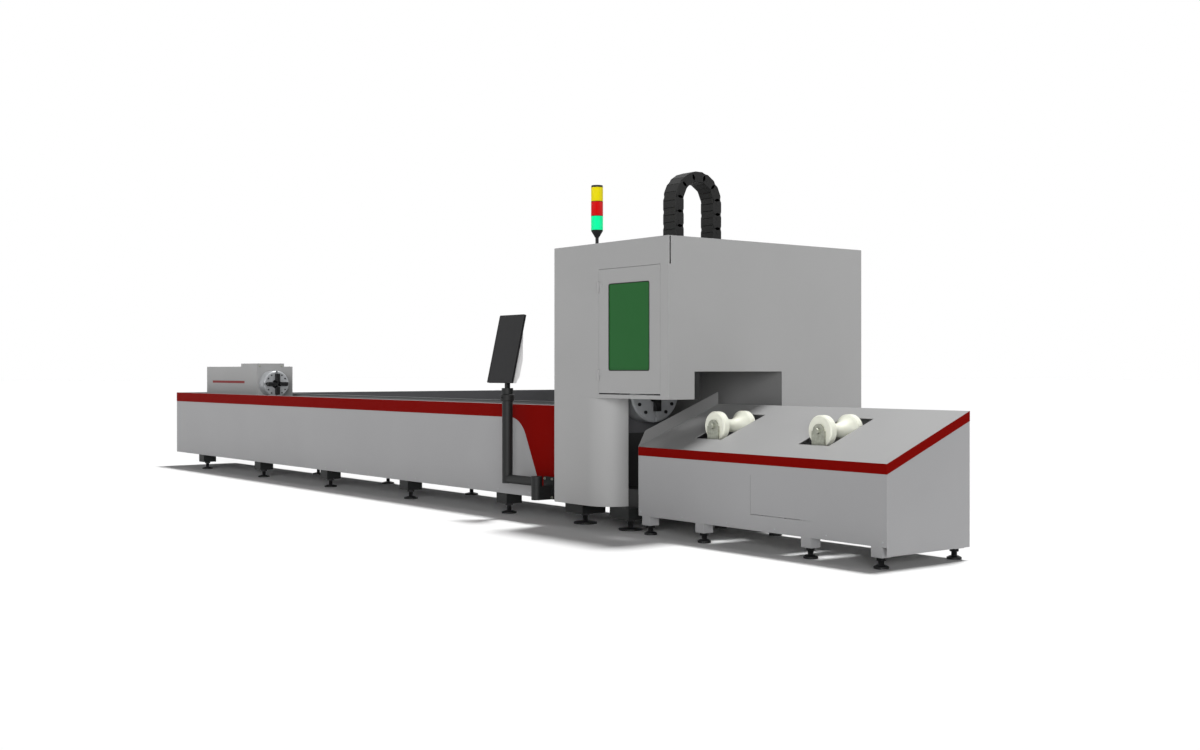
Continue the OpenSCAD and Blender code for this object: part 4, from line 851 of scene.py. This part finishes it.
class MACHINE_OT_rack_and_plugs(bpy.types.Operator):
    """Sets the teeth on the drive rack and plugs the screw holes of the rails"""
    bl_idname = "machine.rack_and_plugs"
    bl_label = "Rack and rail plugs"
    # Free length beside the enclosure
    end_gap = 0.06
    # Distance of the rack's middle from the front panel of the bed, and the height of its teeth's middle
    rack_inset = 0.1415
    rack_rise = 0.0266
    # Width and height of a rack tooth, and its width at the root and the crest as shares of the pitch
    tooth = (0.020, 0.008)
    root_share = 0.72
    crest_share = 0.30
    # Distance of the rails from the tube axis, and their height
    rail_aside = 0.320
    rail_h = 0.032
    # Radius and height of a plug, the rim round its pocket and the pocket's depth as shares of these
    plug = (0.0095, 0.0012)
    rim_share = 0.3
    depth_share = 0.6

    def execute(self, context):
        start = low("rails_and_rack")
        stop = low("enclosure_left_wall").x - self.end_gap
        self.teeth(start, stop)
        self.plugs("front", AXIS_Y - self.rail_aside, start, stop)
        self.plugs("rear", AXIS_Y + self.rail_aside, start, stop)
        return {"FINISHED"}

    def teeth(self, start, stop):
        """A row of teeth on top of the rack."""
        pitch = sizes().rack_pitch
        wide, tall = self.tooth
        root = pitch * self.root_share
        bm = bmesh.new()
        bmesh.ops.create_cube(bm, size=1.0, matrix=Matrix.Diagonal((root, wide, tall, 1.0)))
        crest = [v for v in bm.verts if v.co.z > 0]
        bmesh.ops.scale(bm, vec=(self.crest_share / self.root_share, 1.0, 1.0), verts=crest)
        across = low("bed_front_panel").y + self.rack_inset
        bmesh.ops.translate(bm, vec=(start.x + pitch, across, start.z + self.rack_rise), verts=bm.verts)
        piece = add_piece("rack_teeth", bm, "ground_steel", "machine")
        repeat(piece, pitch, int((stop - start.x) / pitch) - 1)

    def plugs(self, side, across, start, stop):
        """A row of round plugs along one rail."""
        pitch = sizes().plug_pitch
        radius, tall = self.plug
        bm = bmesh.new()
        top = drum(bm, radius, tall, segments=16)
        sunk(bm, top, radius * self.rim_share, tall * self.depth_share)
        first = (start.x + pitch / 2, across, start.z + self.rail_h)
        bmesh.ops.translate(bm, vec=first, verts=bm.verts)
        piece = add_piece(side + "_rail_plugs", bm, "black_steel", "machine")
        repeat(piece, pitch, int((stop - start.x) / pitch))


class MACHINE_OT_louvre_hoods(bpy.types.Operator):
    """Presses a hood over every louvre slot of the rear wall"""
    bl_idname = "machine.louvre_hoods"
    bl_label = "Louvre hoods"
    # Width and reach of a hood, and the thickness of its sheet
    hood_size = (0.332, 0.020)
    wall_t = 0.0015
    # Steps of a hood's round
    arc_steps = 6
    # Rows of louvres, the height of the lowest above the wall's lower edge, and the distance of a group
    # from the middle of the wall
    rows = 10
    lowest = 0.447
    aside = 0.300

    def execute(self, context):
        wall = high("enclosure_rear_wall").y
        middle = centre("enclosure_rear_wall").x
        first = low("enclosure_rear_wall").z + self.lowest
        placings = []
        for side in (-1, 1):
            for row in range(self.rows):
                rise = first + row * sizes().louvre_pitch
                placings.append(Matrix.Translation((middle + side * self.aside, wall, rise)))
        add_copies("louvre_hoods", self.hood(*self.hood_size), placings, "grey_paint", "machine")
        return {"FINISHED"}

    def hood(self, wide, reach):
        """A quarter-round hood, open below, with closed ends."""
        bm = bmesh.new()
        ends = [bm.verts.new((x, 0, reach)) for x in (-wide / 2, wide / 2)]
        rim = bm.edges.new(ends)
        bmesh.ops.spin(bm, geom=[rim, *ends], cent=(0, 0, 0), axis=(1, 0, 0),
                       angle=-math.pi / 2, steps=self.arc_steps)
        for x in (-wide / 2, wide / 2):
            arc = [v for v in bm.verts if abs(v.co.x - x) < TOUCH]
            root = bm.verts.new((x, 0, 0))
            arc.sort(key=lambda v: v.co.y)
            bm.faces.new([root, *arc])
        bmesh.ops.remove_doubles(bm, verts=bm.verts, dist=TOUCH)
        bmesh.ops.recalc_face_normals(bm, faces=bm.faces)
        bmesh.ops.solidify(bm, geom=bm.faces[:], thickness=self.wall_t)
        return as_shape(bm)


class MACHINE_OT_drag_chain(bpy.types.Operator):
    """Links the drag chain over the roof, with the cables that it carries"""
    bl_idname = "machine.drag_chain"
    bl_label = "Drag chain"
    # Links of the bend and of each leg
    bend_links = 11
    leg_links = 9
    # Lid length as a share of the link, and pin radius as a share of half the link height
    lid_share = 0.96
    pin_share = 0.38
    # Rounding of a plate or a lid and height of a pin, as shares of the thickness
    rounding = 0.25
    pin_rise = 0.25
    # Places of the cables across the chain, as shares of its half width
    cable_shares = (-0.62, -0.3, 0.02, 0.32, 0.62)
    # Sides of a cable, its steps round the bend, and the sides of a link's round ends and of a pin
    cable_sides = 10
    cable_steps = 24
    plate_sides = 20
    pin_sides = 14

    def execute(self, context):
        lowest, highest = low("drag_chain"), high("drag_chain")
        tall = sizes().link_h
        self.radius = (highest.y - lowest.y - tall) / 2
        self.pitch = math.pi * self.radius / self.bend_links
        self.half = (highest.x - lowest.x) / 2
        self.middle = centre("drag_chain")
        self.middle.z = highest.z - tall / 2 - self.radius
        chain = bmesh.new()
        for number in range(self.bend_links + 2 * self.leg_links):
            self.link(chain, number, tall)
        links = add_piece("drag_chain_links", chain, "chain_nylon")
        self.hang(links)
        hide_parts("drag_chain")
        cables = bmesh.new()
        for share in self.cable_shares:
            self.cable(cables, share * self.half)
        self.hang(add_piece("chain_cables", cables, "rubber"))
        return {"FINISHED"}

    def hang(self, piece):
        """Bakes a piece's placing into its mesh."""
        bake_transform(piece)

    def joint(self, number):
        """Place of a link joint in the chain's own plane, counted from the foot of the front leg."""
        if number <= self.leg_links:
            return Vector((-self.radius, -(self.leg_links - number) * self.pitch))
        if number >= self.leg_links + self.bend_links:
            return Vector((self.radius, -(number - self.leg_links - self.bend_links) * self.pitch))
        angle = math.pi * (1 - (number - self.leg_links) / self.bend_links)
        return Vector((math.cos(angle), math.sin(angle))) * self.radius

    def link(self, chain, number, tall):
        """One link: two side plates with round ends and pin heads, and an outer and an inner lid."""
        start, stop = self.joint(number), self.joint(number + 1)
        run = stop - start
        thick = sizes().link_plate
        half = self.half - (number % 2) * thick
        lift = tall / 2
        turn = Matrix.Rotation(math.atan2(run.y, run.x), 4, "X")
        placing = Matrix.Translation(self.middle + Vector((0, start.x, start.y))) @ turn
        plate = self.plate(run.length, lift, thick)
        for side in (-1, 1):
            # Own X of a plate runs along the link, own Z points outwards
            along = Matrix(((0, 0, side, 0), (1, 0, 0, 0), (0, side, 0, 0), (0, 0, 0, 1)))
            copies(chain, plate, [placing @ Matrix.Translation((side * (half - thick), 0, 0)) @ along])
        bent = self.leg_links <= number < self.leg_links + self.bend_links
        deep = sizes().link_bar
        for level in (-1, 1):
            spread = 1 + level * lift / self.radius if bent else 1.0
            lid = self.lid(2 * (half - thick), run.length * spread * self.lid_share, deep)
            seat = Matrix.Translation((0, run.length / 2, level * (lift - deep / 2)))
            copies(chain, lid, [placing @ seat])

    def plate(self, run, lift, thick):
        """Side plate along X with round ends, a rounded rim and a pin head at its joint."""
        bm = bmesh.new()
        made = bmesh.ops.create_circle(bm, cap_ends=True, segments=self.plate_sides, radius=lift,
                                       matrix=Matrix.Rotation(math.pi / self.plate_sides, 4, "Z"))
        bmesh.ops.translate(bm, vec=(run, 0, 0), verts=[v for v in made["verts"] if v.co.x > 0])
        raised = thicken(bm, bm.faces[:], thick)
        rim = [e for e in bm.edges if all(v in raised for v in e.verts)]
        soften(bm, rim, thick * self.rounding, segments=1)
        drum(bm, lift * self.pin_share, thick * self.pin_rise, base=thick, segments=self.pin_sides)
        return as_shape(bm)

    def lid(self, wide, reach, deep):
        """Flat lid across a link with rounded edges."""
        bm = bmesh.new()
        bmesh.ops.create_cube(bm, size=1.0, matrix=Matrix.Diagonal((wide, reach, deep, 1.0)))
        soften(bm, bm.edges[:], deep * self.rounding, segments=1)
        return as_shape(bm)

    def cable(self, cables, offset):
        """One cable up the front leg, round the bend and down the back leg."""
        fall = self.leg_links * self.pitch
        placing = Matrix.Translation(self.middle + Vector((offset, -self.radius, -fall)))
        ring = bmesh.ops.create_circle(cables, cap_ends=False, segments=self.cable_sides,
                                       radius=sizes().cable_r, matrix=placing)
        edges = list(dict.fromkeys(e for v in ring["verts"] for e in v.link_edges))
        edges = self.pull(cables, edges, fall)
        ends = dict.fromkeys(v for e in edges for v in e.verts)
        spun = bmesh.ops.spin(cables, geom=[*edges, *ends], cent=self.middle, axis=(1, 0, 0),
                              angle=-math.pi, steps=self.cable_steps)
        self.pull(cables, edges_of(spun["geom_last"]), -fall)

    def pull(self, cables, edges, rise):
        """Extrudes a ring of edges upright and returns the new ring."""
        grown = bmesh.ops.extrude_edge_only(cables, edges=edges)["geom"]
        bmesh.ops.translate(cables, vec=(0, 0, rise), verts=verts_of(grown))
        return edges_of(grown)


class MACHINE_OT_cutting_nozzle(bpy.types.Operator):
    """Fits the brass nozzle and the lens drawer on the cutting head"""
    bl_idname = "machine.cutting_nozzle"
    bl_label = "Cutting nozzle"
    # Radius and height of each step of the nozzle, from its tip, and its wall
    steps = ((0.0065, 0.0), (0.0165, 0.016), (0.0195, 0.018), (0.0195, 0.024))
    wall = 0.001
    nozzle_sides = 32
    # Width, height, corner, rim and thickness of the lens drawer
    drawer = (0.060, 0.034, 0.006, 0.008, 0.010)
    # How far it sits in the head, and its height above the tip
    drawer_in = 0.002
    drawer_rise = 0.20
    # Radius and length of the drawer's knob, and the rounding of its end as a share of the radius
    knob = (0.007, 0.016)
    knob_rounding = 0.3

    def execute(self, context):
        tip = low("cutting_head").z
        middle = centre("cutting_head")
        bm = lathe(self.steps, self.nozzle_sides, closed=False)
        bmesh.ops.recalc_face_normals(bm, faces=bm.faces)
        bmesh.ops.solidify(bm, geom=bm.faces[:], thickness=self.wall)
        bmesh.ops.translate(bm, vec=(middle.x, middle.y, tip + self.wall), verts=bm.verts)
        add_piece("nozzle_tip", bm, "brass", "vertical_axis")
        bm = rounded_ring(*self.drawer)
        radius, reach = self.knob
        top = drum(bm, radius, reach)
        soften(bm, list(top.edges), radius * self.knob_rounding)
        face = (high("cutting_head").x - self.drawer_in, middle.y, tip + self.drawer_rise)
        bmesh.ops.transform(bm, matrix=aim(face, (1, 0, 0)), verts=bm.verts)
        add_piece("lens_drawer", bm, "ground_steel", "vertical_axis")
        return {"FINISHED"}


class MACHINE_OT_roller_hubs(bpy.types.Operator):
    """Fits the nuts on the shafts of the rollers"""
    bl_idname = "machine.roller_hubs"
    bl_label = "Roller hubs"
    # Radius and height of a nut
    nut = (0.020, 0.012)

    def execute(self, context):
        for k in (1, 2):
            lift = "roller_lift_%d" % k
            middle = centre("table_roller_%d" % k)
            front = aim((middle.x, low(lift).y, middle.z), (0, -1, 0))
            back = aim((middle.x, high(lift).y, middle.z), (0, 1, 0))
            add_copies(lift + "_nuts", hex_bolt(*self.nut), [front, back], "bracket_zinc", "lift_%d" % k)
        return {"FINISHED"}


class MACHINE_OT_tower_rings(bpy.types.Operator):
    """Fits the black rings between the lamps of the light tower"""
    bl_idname = "machine.tower_rings"
    bl_label = "Tower rings"
    # Radius of a ring as a share of the lamp's, its height, and the rounding of its upper edge
    ring_share = 0.985
    ring_h = 0.005
    rounding = 0.001
    ring_sides = 40

    def execute(self, context):
        middle = centre("tower_red")
        radius = (high("tower_red").x - low("tower_red").x) / 2
        bm = bmesh.new()
        for lamp in ("tower_green", "tower_red", "tower_yellow"):
            top = drum(bm, radius * self.ring_share, self.ring_h, low(lamp).z, self.ring_sides)
            soften(bm, list(top.edges), self.rounding, segments=1)
        bmesh.ops.translate(bm, vec=(middle.x, middle.y, 0), verts=bm.verts)
        add_piece("tower_rings", bm, "rubber", "machine")
        return {"FINISHED"}


class MACHINE_OT_roof_seal(bpy.types.Operator):
    """Edges the chain slot of the roof with a rubber strip"""
    bl_idname = "machine.roof_seal"
    bl_label = "Roof seal"
    # Clearance of the slot round the chain, the chain's travel, and the strip's width, height and corner
    clear = 0.014
    travel = 0.100
    rim = 0.012
    thick = 0.006
    corner = 0.006

    def execute(self, context):
        chain = high("drag_chain") - low("drag_chain")
        around = 2 * (self.clear + self.rim)
        reach = chain.y + around + 2 * self.travel
        bm = rounded_ring(chain.x + around, reach, self.corner, self.rim, self.thick)
        place = centre("drag_chain")
        place.z = high("enclosure_roof").z
        bmesh.ops.translate(bm, vec=place, verts=bm.verts)
        add_piece("roof_seal", bm, "rubber", "machine")
        return {"FINISHED"}


class MACHINE_OT_bracket_bolts(bpy.types.Operator):
    """Bolts the arm bracket to the bed"""
    bl_idname = "machine.bracket_bolts"
    bl_label = "Bracket bolts"
    # Thickness of the bracket's plate, the bolts' distance from its edges, and their radius and height
    plate_t = 0.012
    inset = 0.016
    bolt = (0.009, 0.008)

    def execute(self, context):
        spots = corner_spots("arm_bracket", 1, high("arm_bracket").y - self.plate_t, self.inset)
        placings = aimed(spots, (0, -1, 0))
        add_copies("bracket_bolts", hex_bolt(*self.bolt), placings, "bracket_zinc", "machine")
        return {"FINISHED"}


class MACHINE_OT_post_collar(bpy.types.Operator):
    """Clamps a collar round the top of the monitor post"""
    bl_idname = "machine.post_collar"
    bl_label = "Post collar"
    # Radius of the post, the collar's outer radius, height and chamfer, and its distance below the top
    post_r = 0.042
    outer = 0.054
    tall = 0.052
    chamfer = 0.005
    drop = 0.004
    collar_sides = 40
    # Radius and height of the clamp screw
    screw = (0.007, 0.006)

    def execute(self, context):
        x = low("monitor_arm").x + self.post_r
        y = centre("monitor_arm").y
        base = high("monitor_arm").z - self.drop - self.tall
        rim = self.outer - self.chamfer
        steps = ((self.post_r, 0), (rim, 0), (self.outer, self.chamfer),
                 (self.outer, self.tall - self.chamfer), (rim, self.tall), (self.post_r, self.tall))
        bm = lathe(steps, self.collar_sides, closed=True)
        bmesh.ops.translate(bm, vec=(x, y, base), verts=bm.verts)
        add_piece("post_collar", bm, "chain_nylon", "arm")
        seat = aim((x, y - self.outer, base + self.tall / 2), (0, -1, 0))
        add_copies("collar_screw", socket_screw(*self.screw), [seat], "black_steel", "arm")
        return {"FINISHED"}


class MACHINE_OT_panel_screws(bpy.types.Operator):
    """Screws the rear wall, the roof, the panels and the carriage covers to their frames"""
    bl_idname = "machine.panel_screws"
    bl_label = "Panel screws"
    # Distance of the screws from a panel's edge
    inset = 0.028

    def execute(self, context):
        shape = button_screw(sizes().screw_r)
        panels = bmesh.new()
        for node in ("enclosure_rear_wall", "bed_rear_panel", "table_back_panel"):
            copies(panels, shape, self.rim(node, 1))
        copies(panels, shape, self.rim("enclosure_roof", 2))
        for node in ("bed_front_panel", "table_front_panel"):
            copies(panels, shape, self.row(node))
        add_piece("panel_screws", panels, "ground_steel", "machine")
        covers = bmesh.new()
        for node in ("carriage_housing", "carriage_low_box"):
            copies(covers, shape, self.rim(node, 2))
        add_piece("carriage_screws", covers, "ground_steel", "carriage")
        return {"FINISHED"}

    def stations(self, start, stop):
        """Even places from start to stop, no further apart than the screw pitch."""
        steps = max(1, math.ceil((stop - start) / sizes().screw_pitch))
        return [start + (stop - start) * step / steps for step in range(steps + 1)]

    def rim(self, node, axis):
        """Placings round the outline of a node's upper or rear face, which looks along an axis."""
        across, up = [other for other in range(3) if other != axis]
        edge = Vector((self.inset,) * 3)
        first, last = low(node) + edge, high(node) - edge
        spots = []
        for along, other in ((across, up), (up, across)):
            for place in self.stations(first[along], last[along]):
                for level in (first[other], last[other]):
                    spot = Vector()
                    spot[axis] = high(node)[axis]
                    spot[along] = place
                    spot[other] = level
                    if spot not in spots:
                        spots.append(spot)
        facing = Vector()
        facing[axis] = 1
        return aimed(spots, facing)

    def row(self, node):
        """Placings along the lower edge of a node's front face."""
        first, last = low(node), high(node)
        places = self.stations(first.x + self.inset, last.x - self.inset)
        return aimed([(place, first.y, first.z + self.inset) for place in places], (0, -1, 0))


class MACHINE_OT_housing_bolts(bpy.types.Operator):
    """Bolts the spindle housings at their corners"""
    bl_idname = "machine.housing_bolts"
    bl_label = "Housing bolts"
    # Distance of the bolts from the edges of a housing, and their radius and height
    inset = 0.030
    bolt = (0.009, 0.008)

    def execute(self, context):
        for node, body in (("carriage_housing", "carriage"), ("front_chuck_housing", "machine")):
            placings = aimed(corner_spots(node, 0, high(node).x, self.inset), (1, 0, 0))
            add_copies(node + "_bolts", hex_bolt(*self.bolt), placings, "bracket_zinc", body)
        return {"FINISHED"}


class MACHINE_OT_cable_glands(bpy.types.Operator):
    """Fits a plate with capped cable glands low on the rear wall"""
    bl_idname = "machine.cable_glands"
    bl_label = "Cable glands"
    # Width, height, corner and thickness of the plate
    plate = (0.34, 0.11, 0.012, 0.003)
    # Distances of its middle from the right and the lower edge of the wall
    inset = (0.30, 0.14)
    # Radius of a gland, and how many there are
    gland_r = 0.018
    count = 5
    # Height and rounding of a gland's hexagon body, as shares of its radius
    body_shares = (0.5, 0.08)
    # Radius, height and rounding of its cap nut, as shares of the same
    cap_shares = (0.85, 0.7, 0.3)

    def execute(self, context):
        wall = "enclosure_rear_wall"
        width, height, corner, thick = self.plate
        place = Vector((high(wall).x - self.inset[0], high(wall).y, low(wall).z + self.inset[1]))
        bm = bmesh.new()
        face = rounded_face(bm, width, height, corner)
        thicken(bm, [face], thick)
        bmesh.ops.transform(bm, matrix=aim(place, (0, 1, 0)), verts=bm.verts)
        add_piece("gland_plate", bm, "grey_paint", "machine")
        step = width / self.count
        asides = [(number + 0.5) * step - width / 2 for number in range(self.count)]
        placings = aimed([place + Vector((aside, thick, 0)) for aside in asides], (0, 1, 0))
        add_copies("cable_glands", self.gland(), placings, "chain_nylon", "machine")
        return {"FINISHED"}

    def gland(self):
        """Hexagon body and a round cap nut with a domed end."""
        tall, rounding = [self.gland_r * share for share in self.body_shares]
        cap_r, cap_h, dome = [self.gland_r * share for share in self.cap_shares]
        bm = bmesh.new()
        top = drum(bm, self.gland_r, tall, segments=6)
        soften(bm, list(top.edges), rounding)
        top = drum(bm, cap_r, cap_h, base=tall)
        soften(bm, list(top.edges), dome, segments=4)
        return as_shape(bm)


class MACHINE_OT_build_stage(bpy.types.Operator):
    """Lays the floor, hangs the lamps and sets up the camera"""
    bl_idname = "machine.build_stage"
    bl_label = "Stage"
    # Reach of the floor to each side, and its depth below the pads
    floor_reach = 150.0
    floor_drop = 0.001
    # Name of each lamp, direction in which it stands, setting of its strength, and spread in degrees
    suns = (
        ("overhead_light", (-0.06, 0.29, 1.0), "key", 9.0),
        ("front_light", (0.78, -0.62, 0.04), "fill", 40.0),
    )
    # Height at which the lamps stand, which doesn't change their light
    lamp_z = 8.0
    # Width of the camera's sensor in millimetres, and how far the camera sees
    sensor_w = 36.0
    sight = 200.0
    # Rays that meet plain white where they leave the scene
    white_rays = ("Is Camera Ray", "Is Glossy Ray", "Is Transmission Ray")
    white = (1.0, 1.0, 1.0, 1.0)

    def execute(self, context):
        scene = context.scene
        scene.view_settings.view_transform = "Standard"
        self.floor()
        self.world(scene)
        self.lamps(scene.machine_stage)
        self.camera(scene)
        return {"FINISHED"}

    def floor(self):
        """Plain pale floor that keeps the shadow of the machine."""
        bm = bmesh.new()
        bmesh.ops.create_grid(bm, x_segments=1, y_segments=1, size=self.floor_reach)
        bmesh.ops.translate(bm, vec=(0, 0, -self.floor_drop), verts=bm.verts)
        mesh = bpy.data.meshes.new("floor")
        bm.to_mesh(mesh)
        bm.free()
        floor = bpy.data.objects.new("floor", mesh)
        bpy.context.scene.collection.objects.link(floor)
        finish = Finish("floor_paint", colours().floor)
        finish.set("Base Color", finish.shade(finish.noise(scale=0.5), depth=0.02))
        finish.rough(0.9)
        finish.set("Specular IOR Level", 0.0)
        mesh.materials.append(finish.material)

    def world(self, scene):
        """Even light, seen as plain white by the camera, in reflections and through glass."""
        world = bpy.data.worlds.new("studio")
        world.use_nodes = True
        scene.world = world
        studio = Nodes(world.node_tree)
        sky = studio.tree.nodes["Background"]
        studio.fill(sky.inputs["Color"], self.white)
        studio.fill(sky.inputs["Strength"], scene.machine_stage.sky)
        white = studio.node("ShaderNodeBackground", sockets={"Color": self.white})
        path = studio.node("ShaderNodeLightPath")
        seen, *others = [Value(studio.tree, path.outputs[name]) for name in self.white_rays]
        for ray in others:
            seen = seen.maths("MAXIMUM", seen, ray)
        parts = {0: seen, 1: sky.outputs[0], 2: white.outputs[0]}
        both = studio.node("ShaderNodeMixShader", sockets=parts)
        studio.fill(studio.tree.nodes["World Output"].inputs["Surface"], both.outputs[0])

    def lamps(self, settings):
        """Soft light from overhead and a little behind, and a softer one from the front right corner."""
        for name, source, setting, spread in self.suns:
            light = bpy.data.lights.new(name, "SUN")
            light.energy = getattr(settings, setting)
            light.angle = math.radians(spread)
            lamp = bpy.data.objects.new(name, light)
            lamp.matrix_world = aim((0, 0, self.lamp_z), source)
            bpy.context.scene.collection.objects.link(lamp)

    def camera(self, scene):
        """Level camera off the front right corner, at chest height."""
        settings = scene.machine_stage
        lens = bpy.data.cameras.new("camera")
        lens.sensor_width = self.sensor_w
        lens.lens = settings.lens
        lens.shift_y = settings.shift
        lens.clip_end = self.sight
        camera = bpy.data.objects.new("camera", lens)
        turn = Vector(settings.heading).to_track_quat("-Z", "Y").to_matrix().to_4x4()
        camera.matrix_world = Matrix.Translation(settings.eye) @ turn
        scene.collection.objects.link(camera)
        scene.camera = camera


OPERATORS = (
    MACHINE_OT_paint_casings,
    MACHINE_OT_window_gasket,
    MACHINE_OT_chuck_screws,
    MACHINE_OT_rack_and_plugs,
    MACHINE_OT_louvre_hoods,
    MACHINE_OT_drag_chain,
    MACHINE_OT_cutting_nozzle,
    MACHINE_OT_roller_hubs,
    MACHINE_OT_tower_rings,
    MACHINE_OT_roof_seal,
    MACHINE_OT_bracket_bolts,
    MACHINE_OT_post_collar,
    MACHINE_OT_panel_screws,
    MACHINE_OT_housing_bolts,
    MACHINE_OT_cable_glands,
    MACHINE_OT_build_stage,
)


class MACHINE_PT_sidebar(bpy.types.Panel):
    """Lists the steps that dress the machine"""
    bl_idname = "MACHINE_PT_sidebar"
    bl_label = "Tube laser cutting machine"
    bl_space_type = "VIEW_3D"
    bl_region_type = "UI"
    bl_category = "Machine"

    def draw(self, context):
        for operator in OPERATORS:
            self.layout.operator(operator.bl_idname)


CLASSES = (MachineColours, MachineSizes, MachineStage, *OPERATORS, MACHINE_PT_sidebar)


def register():
    """Registers the classes and the settings of the scene."""
    for each in CLASSES:
        bpy.utils.register_class(each)
    bpy.types.Scene.machine_colours = bpy.props.PointerProperty(type=MachineColours)
    bpy.types.Scene.machine_sizes = bpy.props.PointerProperty(type=MachineSizes)
    bpy.types.Scene.machine_stage = bpy.props.PointerProperty(type=MachineStage)


def unregister():
    """Removes the settings and the classes."""
    del bpy.types.Scene.machine_stage
    del bpy.types.Scene.machine_sizes
    del bpy.types.Scene.machine_colours
    for each in reversed(CLASSES):
        bpy.utils.unregister_class(each)


def main():
    """Dresses the machine."""
    register()
    for operator in OPERATORS:
        group, name = operator.bl_idname.split(".")
        getattr(getattr(bpy.ops, group), name)()


if __name__ == "__main__":
    main()
